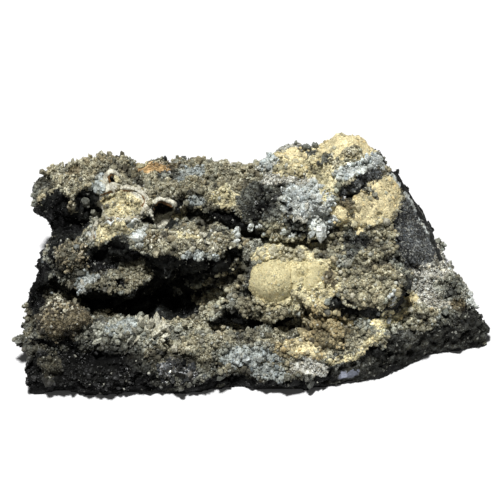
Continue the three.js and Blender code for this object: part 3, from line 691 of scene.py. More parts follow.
# A crystal form: its sides, its rings as (radius, height), its buried root and its tip, in half widths.
Form = namedtuple("Form", "sides rings root tip")
POINT = Form(6, [(1.0, 0.0), (0.92, 1.3)], -1.0, 2.3)
NEEDLE = Form(5, [(1.0, 0.0), (0.75, 2.6)], -1.0, 3.8)
BLUNT = Form(5, [(1.0, 0.0), (0.95, 1.1)], -1.0, 1.5)
RHOMB = Form(4, [(1.0, -0.2), (1.0, 0.8)], -1.0, 1.3)
BEAD = Form(7, [(0.8, -0.3), (1.0, 0.45), (0.68, 1.15)], -0.9, 1.4)
GRAIN = Form(5, [(1.0, 0.0), (0.62, 0.75)], -0.8, 0.95)
SHARD = Form(4, [(1.0, 0.2)], -1.2, 1.7)
FLAKE = Form(3, [(1.0, 0.1)], -0.8, 1.0)
CUBE = Form(4, [(1.35, -0.95), (1.35, 0.95)], -0.95, 0.95)
PRISM = Form(6, [(0.8, -0.6), (1.0, 0.0), (0.96, 2.0)], -1.0, 3.2)
LUMP = Form(5, [(0.9, -0.2), (0.8, 0.7)], -0.9, 1.05)

# The empty edge round each crystal's cell of the bake map, and the least height of a crystal's vertices.
PLAN_MARGIN = 0.06
FLOOR_GAP = 0.05


def template(form):
    """Vertices, triangles, root-to-tip shares and bake-map corners of one crystal, in half widths."""
    turns = 2.0 * math.pi * np.arange(form.sides) / form.sides
    vertices = [(0.0, 0.0, form.root)]
    for radius, height in form.rings:
        vertices += [(radius * math.cos(turn), radius * math.sin(turn), height) for turn in turns]
    vertices.append((0.0, 0.0, form.tip))
    last = len(vertices) - 1
    rows = len(form.rings) + 1
    triangles, corners = [], []
    for side in range(form.sides):
        after = (side + 1) % form.sides
        left, right, centre = side / form.sides, (side + 1) / form.sides, (side + 0.5) / form.sides
        triangles.append((0, 1 + after, 1 + side))
        corners.append(((centre, 0.0), (right, 1 / rows), (left, 1 / rows)))
        for ring in range(len(form.rings) - 1):
            low, high = 1 + ring * form.sides, 1 + (ring + 1) * form.sides
            bottom, top = (ring + 1) / rows, (ring + 2) / rows
            triangles.append((low + side, low + after, high + after))
            corners.append(((left, bottom), (right, bottom), (right, top)))
            triangles.append((low + side, high + after, high + side))
            corners.append(((left, bottom), (right, top), (left, top)))
        low = last - form.sides
        triangles.append((low + side, low + after, last))
        corners.append(((left, (rows - 1) / rows), (right, (rows - 1) / rows), (centre, 1.0)))
    vertices = np.array(vertices)
    share = np.clip(vertices[:, 2] / form.tip, 0.0, 1.0)
    return vertices, np.array(triangles), share, np.array(corners)


def side_axes(axes, rng):
    """Two unit directions square to each axis, turned at random about it."""
    helper = rng.normal(size=axes.shape)
    first = np.cross(axes, helper)
    first /= np.linalg.norm(first, axis=1)[:, None]
    return first, np.cross(axes, first)


def grow(form, places, axes, widths, lengths, unevenness, rng):
    """Crystals of one form at the places: their joined vertices, triangles, tip shares and bake corners."""
    shape, triangles, share, corners = template(form)
    count, each = len(places), len(shape)
    across, over = side_axes(axes, rng)
    half = widths[:, None] / 2.0
    wobble = 1.0 + unevenness * rng.uniform(-1.0, 1.0, (count, each))
    sideways = shape[None, :, 0] * wobble * half
    backways = shape[None, :, 1] * wobble * half
    upward = shape[None, :, 2] * half * lengths[:, None]
    lean = unevenness * rng.uniform(-1.0, 1.0, (count, 2)) * half
    top = share > 0.99
    sideways[:, top] += lean[:, :1]
    backways[:, top] += lean[:, 1:]
    vertices = (
        places[:, None, :]
        + sideways[..., None] * across[:, None, :]
        + backways[..., None] * over[:, None, :]
        + upward[..., None] * axes[:, None, :]
    )
    faces = triangles[None] + each * np.arange(count)[:, None, None]
    columns = math.ceil(math.sqrt(count))
    cells = np.stack([np.arange(count) % columns, np.arange(count) // columns], axis=1)
    plan = (cells[:, None, None, :] + PLAN_MARGIN + (1.0 - 2.0 * PLAN_MARGIN) * corners[None]) / columns
    return vertices.reshape(-1, 3), faces.reshape(-1, 3), np.tile(share, count), plan.reshape(-1, 2)


def join_crystals(batches):
    """Several grown batches as one, each with its bake corners in its own upright strip of the map."""
    total = sum(len(batch["faces"]) for batch in batches)
    vertices, faces, shares, colours, plans = [], [], [], [], []
    first, left = 0, 0.0
    for batch in batches:
        width = len(batch["faces"]) / total
        vertices.append(batch["vertices"])
        faces.append(batch["faces"] + first)
        shares.append(batch["shares"])
        colours.append(batch["colours"])
        plans.append(batch["plan"] * (width, 1.0) + (left, 0.0))
        first += len(batch["vertices"])
        left += width
    return [np.concatenate(part) for part in (vertices, faces, shares, colours, plans)]


def crystal_piece(name, batches, material, smooth=False):
    """One named piece made of several batches of crystals."""
    vertices, faces, shares, colours, plan = join_crystals(batches)
    vertices[:, 2] = np.maximum(vertices[:, 2], FLOOR_GAP)
    tipness = {"tipness": shares}
    piece = make_mesh(name, vertices, faces, material, smooth, tipness, {"hue": colours}, plan)
    settle(piece)


# How one coat's crystals grow: their form, spacing, width, spread of width, length in widths, lean and
# unevenness, and their mineral where it isn't the coat's own.
Growth = namedtuple(
    "Growth", "coat form spacing width spread length lean unevenness mineral", defaults=("",)
)
GROWTHS = {
    "sphalerite_grains": [
        Growth("sphalerite", GRAIN, 3.4, 1.9, 0.35, 0.3, 0.5, 0.35),
        Growth("sphalerite", FLAKE, 1.8, 1.2, 0.35, 0.3, 0.5, 0.4),
        Growth("flecked_ore", GRAIN, 2.6, 1.0, 0.4, 0.3, 0.5, 0.4),
        Growth("flecked_ore", FLAKE, 1.5, 0.9, 0.35, 0.3, 0.5, 0.4),
    ],
    "grey_druse": [
        Growth("grey_druse", BLUNT, 2.9, 1.5, 0.4, 1.2, 0.6, 0.35),
        Growth("grey_druse", SHARD, 1.15, 0.9, 0.35, 0.95, 0.8, 0.4),
        Growth("dark_druse", BLUNT, 2.9, 1.4, 0.4, 0.9, 0.6, 0.35),
        Growth("dark_druse", SHARD, 1.2, 0.9, 0.35, 0.8, 0.8, 0.4),
        Growth("slate_ore", SHARD, 1.3, 0.9, 0.35, 0.5, 0.8, 0.4),
        Growth("slate_ore", FLAKE, 1.5, 1.1, 0.35, 0.4, 0.6, 0.4),
    ],
    "peppered_druse": [
        Growth("peppered_druse", LUMP, 1.9, 1.2, 0.35, 0.8, 0.6, 0.35),
        Growth("peppered_druse", SHARD, 1.0, 0.8, 0.35, 0.7, 0.8, 0.4),
    ],
    "tan_druse": [
        Growth("tan_druse", BLUNT, 2.9, 1.5, 0.4, 1.2, 0.5, 0.35),
        Growth("tan_druse", SHARD, 1.1, 0.85, 0.35, 1.0, 0.8, 0.4),
        Growth("brown_druse", RHOMB, 2.3, 1.25, 0.35, 1.0, 0.6, 0.35),
        Growth("brown_druse", SHARD, 1.1, 0.85, 0.35, 1.0, 0.8, 0.4),
    ],
    "cream_crust": [
        Growth("cream_crust", LUMP, 2.1, 1.35, 0.4, 0.8, 0.5, 0.3),
        Growth("cream_crust", LUMP, 1.2, 0.85, 0.35, 0.8, 0.6, 0.35),
        Growth("clean_cream", LUMP, 2.1, 1.25, 0.4, 0.7, 0.5, 0.3),
        Growth("clean_cream", LUMP, 1.2, 0.85, 0.35, 0.7, 0.5, 0.35),
        Growth("ochre_crust", BEAD, 2.1, 1.55, 0.35, 0.9, 0.4, 0.25),
        Growth("ochre_crust", LUMP, 1.2, 0.85, 0.35, 0.8, 0.6, 0.35),
        Growth("orange_stain", LUMP, 2.2, 1.0, 0.4, 0.5, 0.4, 0.3),
        Growth("clay_coat", RHOMB, 3.6, 1.8, 0.35, 0.4, 0.5, 0.25, "bead_carbonate"),
        Growth("clay_coat", LUMP, 1.7, 1.0, 0.4, 0.35, 0.4, 0.3),
        Growth("yellow_dome", LUMP, 1.05, 0.95, 0.25, 0.3, 0.3, 0.3),
    ],
    "bead_crust": [
        Growth("bead_crust", BEAD, 2.3, 1.75, 0.3, 0.9, 0.4, 0.2),
        Growth("bead_crust", LUMP, 1.15, 0.85, 0.35, 0.8, 0.6, 0.3),
    ],
    "white_quartz": [
        Growth("white_quartz", POINT, 2.5, 1.75, 0.35, 0.85, 0.5, 0.25),
        Growth("white_quartz", SHARD, 1.15, 0.9, 0.35, 0.7, 0.6, 0.35),
        Growth("white_crust", LUMP, 1.8, 0.95, 0.4, 0.5, 0.5, 0.3),
        Growth("blue_crust", BLUNT, 2.4, 1.3, 0.35, 0.8, 0.5, 0.3),
        Growth("blue_crust", SHARD, 1.2, 0.9, 0.35, 0.7, 0.7, 0.35),
    ],
    "galena_cubes": [
        Growth("galena", CUBE, 2.4, 1.9, 0.4, 0.8, 0.8, 0.06),
        Growth("galena", FLAKE, 1.3, 1.2, 0.35, 0.8, 0.8, 0.3),
    ],
}

# How uneven the crystals of a tuft are, and their minerals.
TUFT_UNEVENNESS = 0.12
MILKY = "milky_quartz"
SPRAY = "spray_quartz"
GREY = "grey_quartz"
SMOKY = "dark_quartz"
TAN = "tan_carbonate"
BROWN = "brown_carbonate"
BEADY = "bead_carbonate"
CREAM = "cream_carbonate"

# Crystals that stand out singly or in a tuft: their form, mineral and number, the middle and the reach of
# their roots, their aim and how far they spread from it, their width and their length in widths.
Tuft = namedtuple("Tuft", "what form mineral number middle reach aim spread width length")
QUARTZ_TUFTS = [
    Tuft("brow, hanging", PRISM, MILKY, 3, (30.2, 6, 48.5), (1.2, 1, 1), (0, -0.9, -0.3), 0.3, 3.8, 0.7),
    Tuft("brow, rightward", PRISM, MILKY, 2, (36, 12, 49), (1, 1, 1), (0.95, -0.35, 0), 0.15, 3.0, 1.0),
    Tuft("brow, upper", PRISM, MILKY, 3, (31, 15, 53), (3, 3, 1), (0.8, -0.4, 0.3), 0.25, 2.2, 0.8),
    Tuft("brow spikes", NEEDLE, MILKY, 60, (24, 14, 57), (10, 8, 3), (0.1, 0.1, 0.9), 0.7, 1.3, 0.8),
    Tuft("left tip", PRISM, MILKY, 4, (-50.5, 4.5, 42.3), (1.4, 1.4, 1), (-0.5, 0.3, 0.7), 0.5, 2.6, 0.8),
    Tuft("right tip", PRISM, MILKY, 3, (-8.5, 7.7, 41), (1.2, 1.5, 1), (0.6, 0.2, 0.7), 0.35, 2.2, 0.9),
    Tuft("right end", POINT, MILKY, 9, (-11, 3, 41), (3, 3, 1), (0.5, 0, 0.8), 0.5, 1.6, 1.0),
    Tuft("rear rim", NEEDLE, TAN, 46, (-78, 45, 52), (13, 3, 3), (0, 0.5, 0.9), 0.5, 1.3, 0.9),
    Tuft("small vug", PRISM, CREAM, 2, (-63, 31, 52), (0.6, 0.8, 0.5), (-0.3, 0.5, 0.8), 0.15, 3.0, 0.6),
    Tuft("edge tuft", NEEDLE, MILKY, 40, (101.5, -9, 15), (1.4, 2.4, 2), (0.85, 0.1, 0.5), 0.5, 1.6, 0.8),
    Tuft("knob, below", BEAD, MILKY, 12, (57, -27, 24), (5, 2, 2), (0.2, -0.8, 0.5), 0.4, 2.1, 0.9),
    Tuft("knob, right", BEAD, MILKY, 9, (62.5, -23.5, 36), (2, 2, 4), (0.5, -0.7, 0.4), 0.4, 2.2, 0.9),
    Tuft("hanging beads", BEAD, MILKY, 9, (2, 9, 44.5), (3.5, 2, 1.5), (0, -0.8, -0.5), 0.4, 1.7, 1.3),
    Tuft("brow beads", BEAD, MILKY, 14, (19, 4.5, 46), (8, 1.5, 1.5), (0, -0.8, -0.4), 0.4, 1.7, 1.2),
    Tuft("low beads", BEAD, BEADY, 20, (22, 3, 43), (9, 2, 2), (0, -0.9, 0.1), 0.4, 1.7, 1.0),
    Tuft("above the dome", BEAD, BEADY, 60, (10, -2, 40), (13, 3, 2), (0, -0.4, 0.8), 0.5, 1.9, 1.0),
    Tuft("spray upward", BLUNT, SPRAY, 26, (-50, -31, 19), (5, 3, 1.5), (0.2, 0.65, 0.65), 0.55, 1.7, 4.4),
    Tuft("spray rightward", BLUNT, SPRAY, 22, (-44, -31, 18), (3, 3, 1.5), (0.85, 0.4, 0.4), 0.4, 1.7, 4.2),
    Tuft("nodule fur", BLUNT, BROWN, 70, (-84, 2, 35), (6, 5, 3), (0, 0.2, 0.9), 0.9, 0.95, 2.8),
    Tuft("nodule fur, low", BLUNT, BROWN, 70, (-83, -1, 33), (7, 5, 4), (0, -0.1, 0.9), 0.9, 0.95, 2.8),
    Tuft("lower left fur", BLUNT, BROWN, 80, (-88, -27, 26), (9, 8, 3), (0, 0.2, 0.9), 0.9, 1.1, 2.2),
    Tuft("lower left tips", BLUNT, SPRAY, 26, (-90, -22, 27), (8, 5, 3), (0, 0.3, 0.9), 0.8, 1.0, 2.4),
    Tuft("ridge spikes", BLUNT, GREY, 90, (-64, -30, 18), (12, 5, 2), (-0.1, 0.3, 0.9), 0.7, 1.7, 2.4),
    Tuft("ledge mat", BLUNT, SPRAY, 70, (-30, 1, 44), (19, 6, 2), (0.1, 0.1, 0.9), 0.8, 1.3, 2.2),
]
DARK_TUFTS = [
    Tuft("rear edge", PRISM, SMOKY, 12, (26, 45, 60), (3.5, 1.5, 1.5), (0.1, 0.4, 0.9), 0.45, 1.9, 0.8),
    Tuft("spiky crest", NEEDLE, BROWN, 24, (-67, 43.5, 51), (4, 2, 1), (-0.2, 0.4, 0.9), 0.5, 1.5, 1.0),
    Tuft("in the hole", PRISM, SMOKY, 5, (-76, 26, 41), (2, 2, 1.5), (-0.1, -0.4, 0.9), 0.4, 2.6, 0.8),
]


# How many spots are tried for each crystal that has room.
TRIES_A_PLACE = 3.0


class Rock:
    """The finished block as arrays: where crystals can take root."""

    def __init__(self):
        block = bpy.data.objects.get("ore_block")
        if block is None:
            raise RuntimeError("make the ore block before its crystals")
        self.points, self.triangles, self.normals = mesh_arrays(block.data)
        self.light_level = point_values(block.data, "cleanness")
        self.coats = np.rint(point_values(block.data, "coat")[self.triangles[:, 0]]).astype(int)
        corners = self.points[self.triangles]
        cross = np.cross(corners[:, 1] - corners[:, 0], corners[:, 2] - corners[:, 0])
        self.areas = np.linalg.norm(cross, axis=1) / 2.0
        self.tree = None

    def sites(self, allowed, spacing, rng):
        """Places about one spacing apart on the allowed triangles, with their normals and painted light
        levels.
        """
        chosen = np.flatnonzero(allowed)
        weights = self.areas[chosen]
        if not weights.sum() > 0.0:
            raise RuntimeError("no rock is left bare for these crystals")
        tries = int(TRIES_A_PLACE * weights.sum() / spacing**2) + 1
        picked = chosen[rng.choice(len(chosen), tries, p=weights / weights.sum())]
        shares = rng.dirichlet((1.0, 1.0, 1.0), tries)
        places = np.einsum("ij,ijk->ik", shares, self.points[self.triangles[picked]])
        normals = np.einsum("ij,ijk->ik", shares, self.normals[self.triangles[picked]])
        light_level = np.einsum("ij,ij->i", shares, self.light_level[self.triangles[picked]])
        cells = np.floor(places / spacing).astype(int)
        _, first = np.unique(cells, axis=0, return_index=True)
        first.sort()
        normals = normals[first]
        return places[first], normals / np.linalg.norm(normals, axis=1)[:, None], light_level[first]

    def coated(self, name):
        """Which triangles have the coat."""
        return self.coats == COAT_NUMBER[name]

    def nearest(self, places):
        """The places moved onto the rock's skin."""
        if self.tree is None:
            self.tree = BVHTree.FromPolygons(self.points.tolist(), self.triangles.tolist())
        return np.array([self.tree.find_nearest(Vector(place))[0] for place in places])


# The least tipness of the crystals on a wholly even coat, which keeps the painted root shade off them.
EVEN_TIPNESS = 0.55


def leaned(axes, amount, rng):
    """Directions leaned at random away from the given ones."""
    leaning = axes + amount * rng.normal(size=axes.shape)
    return leaning / np.linalg.norm(leaning, axis=1)[:, None]


def mineral(name):
    """The colour set for a mineral."""
    return np.array(getattr(bpy.context.scene.specimen_colours, name))


# Where crystals lie between their dark and their light colour: the common level, and how much it changes
# from place to place and from crystal to crystal.
TONE_LEVEL = 0.62
PLACE_CHANGE = 0.45
CRYSTAL_CHANGE = 0.42
# The share of dark crystals in a coat full of pinholes, and how dark they are.
DARK_SHARE = 0.24
DARK_TONE = 0.3
# How red, green and blue change on a cooler crystal.
COOL_TINT = (-0.07, 0.0, 0.09)


def crystal_colours(places, coat, name, light_level, each, rng):
    """A colour for each vertex, the same over a crystal: light, dark or between, or a pale fleck."""
    light = mineral(name or coat.colour)
    dark = light * coat.dark
    tone = TONE_LEVEL + PLACE_CHANGE * rough_noise(places, 8.0, seed=41)
    tone += CRYSTAL_CHANGE * (rng.random(len(places)) - 0.5)
    colours = dark + (light - dark) * np.clip(tone, 0.0, 1.0)[:, None]
    # Pale flecks: pale grains, and on the black ore painted glints.
    pale = rng.random(len(places)) < coat.flecks
    colours[pale] = 0.5 * light + (0.1 + 0.45 * light.mean()) * mineral("milky_quartz")
    colours[rng.random(len(places)) < DARK_SHARE * coat.pinholes] *= DARK_TONE
    cool = 0.6 * rough_noise(places, 7.0, seed=45) + 0.5 * rng.normal(size=len(places))
    colours *= 1.0 + cool[:, None] * COOL_TINT
    # Painted light and shade: each crystal takes the painted light level of the rock it grows from.
    return np.repeat(colours * (light_level * rng.uniform(0.88, 1.12, len(places)))[:, None], each, axis=0)


def batch_of(growth, places, axes, light_level, rng, scale):
    """Grows the crystals that a growth row describes at the places."""
    coat = COATS[COAT_NUMBER[growth.coat]]
    count = len(places)
    widths = scale * growth.width * np.exp(np.clip(growth.spread * rng.normal(size=count), -0.7, 0.7))
    widths *= 1.0 + 0.25 * rough_noise(places, 9.0, seed=43)
    lengths = growth.length * rng.uniform(0.6, 1.5, count)
    tilted = leaned(axes, growth.lean, rng)
    grown = grow(growth.form, places, tilted, widths, lengths, growth.unevenness, rng)
    vertices, faces, shares, plan = grown
    colours = crystal_colours(places, coat, growth.mineral, light_level, len(vertices) // count, rng)
    shares = np.maximum(shares, EVEN_TIPNESS * coat.even)
    return {"vertices": vertices, "faces": faces, "shares": shares, "plan": plan, "colours": colours}


def tuft_batch(tuft, rock, rng):
    """Grows the crystals of one tuft on the rock."""
    count = tuft.number
    places = rock.nearest(tuft.middle + np.array(tuft.reach) * rng.uniform(-1.0, 1.0, (count, 3)))
    axes = leaned(np.tile(np.array(tuft.aim, float), (count, 1)), tuft.spread, rng)
    widths = tuft.width * np.exp(0.25 * rng.normal(size=count))
    lengths = tuft.length * rng.uniform(0.75, 1.25, count)
    grown = grow(tuft.form, places, axes, widths, lengths, TUFT_UNEVENNESS, rng)
    vertices, faces, shares, plan = grown
    tones = mineral(tuft.mineral) * rng.uniform(0.8, 1.15, (count, 1))
    colours = np.repeat(tones, len(vertices) // count, axis=0)
    return {"vertices": vertices, "faces": faces, "shares": shares, "plan": plan, "colours": colours}


def tuft_piece(name, tufts, seed, material):
    """One piece made of all the listed tufts."""
    rng = np.random.default_rng(seed)
    rock = Rock()
    crystal_piece(name, [tuft_batch(tuft, rock, rng) for tuft in tufts], material)


# The curl of a rim as (outward, upward) in thicknesses: its pale outer side, then its rusty inner one.
OUTER_CURL = [(3.0, -1.8), (2.2, 0.0), (1.5, 0.8), (0.9, 1.3), (0.3, 1.6), (-0.3, 1.6), (-0.6, 1.25)]
INNER_CURL = [(-0.8, 0.9), (-1.4, 0.75), (-1.8, 0.2), (-1.8, -2.0)]
# The steps that the ground under a rim is averaged over, and the steps over which its ends taper.
RIM_AVERAGE = 15
RIM_TAPER = 14.0


def rim_batch(rim, rock, first):
    """The crusty lip of one vug, pale outside and rusty inside: its vertices, faces and colours."""
    outward, ring = rim_ring(rim)
    ground = rock.nearest(ring)
    kernel = np.hanning(RIM_AVERAGE) / np.hanning(RIM_AVERAGE).sum()
    padded = np.pad(ground, ((RIM_AVERAGE // 2, RIM_AVERAGE // 2), (0, 0)), mode="edge")
    ground = np.stack([np.convolve(padded[:, axis], kernel, mode="valid") for axis in range(3)], axis=1)
    steps = np.arange(RIM_STEPS)
    ends = np.clip(np.minimum(steps, steps[::-1]) / RIM_TAPER, 0.15, 1.0)
    size = rim.thickness * ends * (1.0 + 0.6 * rough_noise(ground, 4.0, seed=92))
    curl = np.array(OUTER_CURL + INNER_CURL)
    sides = len(curl)
    around = curl[None, :, :1] * outward[:, None] + curl[None, :, 1:] * VUG_OUTWARD
    vertices = (ground[:, None] + size[:, None, None] * around).reshape(-1, 3)
    vertices = vertices + 0.5 * wander(vertices, rough_noise, 2.2, seed=93)
    rows = steps[:-1, None] * sides
    here = (rows + np.arange(sides)).ravel()
    beside = (rows + (np.arange(sides) + 1) % sides).ravel()
    far_wall = np.stack([here, here + sides, beside + sides], axis=1)
    near_wall = np.stack([here, beside + sides, beside], axis=1)
    cap = np.stack([np.zeros(sides - 2, int), np.arange(1, sides - 1), np.arange(2, sides)], axis=1)
    end_cap = cap[:, ::-1] + (RIM_STEPS - 1) * sides
    faces = np.concatenate([far_wall, near_wall, cap, end_cap]) + first
    inner = (np.tile(np.arange(sides), RIM_STEPS) >= len(OUTER_CURL))[:, None]
    colours = np.where(inner, mineral("rust"), mineral(rim.mineral))
    return vertices, faces, colours * (0.95 + 0.3 * rough_noise(vertices, 2.4, seed=96))[:, None]


# The noise below which a spot has no druse, and how far into a pit or a crevice druse still grows.
BALD_BELOW = -0.42
PIT_EDGE = 0.5
CREVICE_EDGE = 0.6


def druse_piece(name, seed, material, smooth=False):
    """One piece of druse: the crystals of its growth rows, with pits left bare between them."""
    scale = bpy.context.scene.specimen_druse.coarseness
    rng = np.random.default_rng(seed)
    rock = Rock()
    above = rock.points[rock.triangles].mean(axis=1)[:, 2] > UNDERSIDE
    batches = []
    for growth in GROWTHS[name]:
        places, normals, light_level = rock.sites(rock.coated(growth.coat) & above, scale * growth.spacing, rng)
        level = (pit_depth(places) < PIT_EDGE) & (crevice_share(places) < CREVICE_EDGE)
        filled = level & (rough_noise(places, 5.0, seed) > BALD_BELOW)
        batches.append(batch_of(growth, places[filled], normals[filled], light_level[filled], rng, scale))
    crystal_piece(name, batches, material, smooth)


# ---------------------------------------------------------------- shader kit


class Nodes:
    """Short calls for laying out one node tree."""

    def __init__(self, tree):
        self.tree = tree
        self.column = 0

    def add(self, kind, **values):
        """A new node with its properties set, laid out in columns."""
        node = self.tree.nodes.new(kind)
        self.column += 1
        node.location = (220 * self.column, -120 * (self.column % 5))
        for key, value in values.items():
            setattr(node, key, value)
        return node

    def join(self, source, target):
        """Links one socket to another."""
        self.tree.links.new(source, target)

    def feed(self, target, value):
        """Puts a socket or a plain value into a target socket."""
        if isinstance(value, bpy.types.NodeSocket):
            self.join(value, target)
        else:
            target.default_value = value

    def place(self):
        """The object's own coordinates."""
        return self.add("ShaderNodeTexCoord").outputs["Object"]

    def bent_place(self, scale, amount):
        """The object's own coordinates, bent by a noise."""
        place = self.place()
        bend = self.add("ShaderNodeTexNoise")
        bend.inputs["Scale"].default_value = scale
        self.join(place, bend.inputs["Vector"])
        shift = self.add("ShaderNodeVectorMath", operation="MULTIPLY_ADD")
        self.join(bend.outputs["Color"], shift.inputs[0])
        shift.inputs[1].default_value = (amount, amount, amount)
        self.join(place, shift.inputs[2])
        return shift.outputs[0]

    def noise(self, scale, detail=3.0):
        """A soft noise between 0 and 1."""
        node = self.add("ShaderNodeTexNoise")
        self.join(self.place(), node.inputs["Vector"])
        self.feed(node.inputs["Scale"], scale)
        node.inputs["Detail"].default_value = detail
        return node.outputs["Fac"]

    def cells(self, scale, place, feature="F1"):
        """The outputs of a texture of cells side by side."""
        node = self.add("ShaderNodeTexVoronoi", feature=feature)
        self.join(place, node.inputs["Vector"])
        self.feed(node.inputs["Scale"], scale)
        return node.outputs

    def split(self, colour):
        """The three channels of a colour: three random numbers, where it is the colour of a cell."""
        node = self.add("ShaderNodeSeparateColor")
        self.join(colour, node.inputs[0])
        return node.outputs

    def fit(self, value, low, high, to_low=0.0, to_high=1.0):
        """A value carried from one range to another, eased at both ends."""
        node = self.add("ShaderNodeMapRange", interpolation_type="SMOOTHSTEP")
        self.feed(node.inputs["Value"], value)
        self.feed(node.inputs["From Min"], low)
        self.feed(node.inputs["From Max"], high)
        self.feed(node.inputs["To Min"], to_low)
        self.feed(node.inputs["To Max"], to_high)
        return node.outputs["Result"]

    def maths(self, operation, first, second):
        """One sum, difference, product or comparison."""
        node = self.add("ShaderNodeMath", operation=operation)
        self.feed(node.inputs[0], first)
        self.feed(node.inputs[1], second)
        return node.outputs[0]

    def blend(self, share, first, second, mode="MIX"):
        """The first colour with a share of the second."""
        node = self.add("ShaderNodeMix", data_type="RGBA", blend_type=mode)
        self.feed(node.inputs["Factor"], share)
        self.feed(node.inputs["A"], first)
        self.feed(node.inputs["B"], second)
        return node.outputs["Result"]

    def attribute(self, name, output="Fac"):
        """A value or colour painted on the mesh."""
        return self.add("ShaderNodeAttribute", attribute_name=name).outputs[output]


def node_group(name, inputs, outputs, lay):
    """A shader node group with named inputs, made once. lay(nodes, inputs) returns its outputs in order."""
    if name in bpy.data.node_groups:
        return bpy.data.node_groups[name]
    tree = bpy.data.node_groups.new(name, "ShaderNodeTree")
    for label, kind, default in inputs:
        socket = tree.interface.new_socket(name=label, in_out="INPUT", socket_type=kind)
        socket.default_value = default
    for label, kind in outputs:
        tree.interface.new_socket(name=label, in_out="OUTPUT", socket_type=kind)
    nodes = Nodes(tree)
    entry = nodes.add("NodeGroupInput")
    results = lay(nodes, entry.outputs)
    leave = nodes.add("NodeGroupOutput")
    for socket, result in zip(leave.inputs, results):
        nodes.join(result, socket)
    return tree


def root_shade():
    """Dark painted shade that fills the gaps between crystals and thins out towards their tips."""

    def lay(nodes, given):
        patchy = nodes.noise(given["Scale"], detail=4.0)
        level = nodes.maths("ADD", given["Tipness"], nodes.maths("MULTIPLY", patchy, 0.5))
        light_level = nodes.fit(level, given["From"], given["To"])
        root_shading = nodes.maths("MULTIPLY", nodes.maths("SUBTRACT", 1.0, light_level), given["Amount"])
        root_shade_colour = nodes.blend(1.0, given["Colour"], given["Dirt"], mode="MULTIPLY")
        return [nodes.blend(root_shading, given["Colour"], root_shade_colour)]

    inputs = [
        ("Colour", "NodeSocketColor", (0.5, 0.5, 0.5, 1.0)),
        ("Dirt", "NodeSocketColor", (0.15, 0.12, 0.08, 1.0)),
        ("Tipness", "NodeSocketFloat", 1.0),
        ("Scale", "NodeSocketFloat", 400.0),
        ("From", "NodeSocketFloat", 0.25),
        ("To", "NodeSocketFloat", 0.8),
        ("Amount", "NodeSocketFloat", 0.9),
    ]
    return node_group("Root grime", inputs, [("Colour", "NodeSocketColor")], lay)


def grain_mosaic():
    """Grains side by side, each lighter or darker than the next, with painted shade in the gaps and a few
    pale flecks.
    """

    def lay(nodes, given):
        place = nodes.bent_place(700.0, 0.0012)
        grain = nodes.split(nodes.cells(given["Scale"], place)["Color"])
        edge = nodes.cells(given["Scale"], place, "DISTANCE_TO_EDGE")["Distance"]
        tone = nodes.fit(grain[0], 0.05, 0.75)
        tinted = nodes.blend(1.0, given["Colour"], given["Dark"], mode="MULTIPLY")
        darkest = nodes.blend(given["Even"], tinted, given["Colour"])
        body = nodes.blend(tone, darkest, given["Colour"])
        fleck = nodes.maths("LESS_THAN", grain[1], given["Flecks"])
        flecked = nodes.blend(fleck, body, given["Pale"])
        # Painted shade: the gaps between grains are darkened where shade falls in them.
        crack = nodes.fit(edge, given["Gap"], 0.02)
        patchy = nodes.fit(nodes.noise(420.0), 0.38, 0.58)
        uneven = nodes.maths("SUBTRACT", 1.0, given["Even"])
        gap = nodes.maths("MULTIPLY", nodes.maths("MULTIPLY", crack, patchy), uneven)
        pit = nodes.blend(1.0, flecked, (0.10, 0.085, 0.06, 1.0), mode="MULTIPLY")
        grit = nodes.fit(nodes.noise(2600.0, detail=1.0), 0.3, 0.7, 0.72, 1.12)
        colour = nodes.blend(gap, flecked, pit)
        gritty = nodes.add("ShaderNodeVectorMath", operation="SCALE")
        nodes.join(colour, gritty.inputs[0])
        nodes.join(grit, gritty.inputs["Scale"])
        height = nodes.maths("SUBTRACT", nodes.maths("MULTIPLY", tone, 0.5), gap)
        return [gritty.outputs[0], height]

    inputs = [
        ("Colour", "NodeSocketColor", (0.5, 0.5, 0.5, 1.0)),
        ("Dark", "NodeSocketColor", (0.42, 0.39, 0.32, 1.0)),
        ("Pale", "NodeSocketColor", (0.48, 0.48, 0.41, 1.0)),
        ("Even", "NodeSocketFloat", 0.0),
        ("Flecks", "NodeSocketFloat", 0.1),
        ("Scale", "NodeSocketFloat", 1000.0),
        ("Gap", "NodeSocketFloat", 0.16),
    ]
    outputs = [("Colour", "NodeSocketColor"), ("Height", "NodeSocketFloat")]
    return node_group("Grain mosaic", inputs, outputs, lay)


def pinhole_scatter():
    """Mask of small holes scattered over a crust, some large and some missing; the skin paints them
    near-black as shade.
    """

    def lay(nodes, given):
        hole = nodes.cells(given["Scale"], nodes.place())
        chance = nodes.split(hole["Color"])
        radius = nodes.maths("MULTIPLY", chance[0], given["Size"])
        inside = nodes.fit(hole["Distance"], radius, nodes.maths("MULTIPLY", radius, 0.6))
        kept = nodes.maths("GREATER_THAN", chance[1], 0.5)
        return [nodes.maths("MULTIPLY", nodes.maths("MULTIPLY", inside, kept), given["Amount"])]

    inputs = [
        ("Scale", "NodeSocketFloat", 360.0),
        ("Size", "NodeSocketFloat", 0.27),
        ("Amount", "NodeSocketFloat", 1.0),
    ]
    return node_group("Pinhole scatter", inputs, [("Mask", "NodeSocketFloat")], lay)


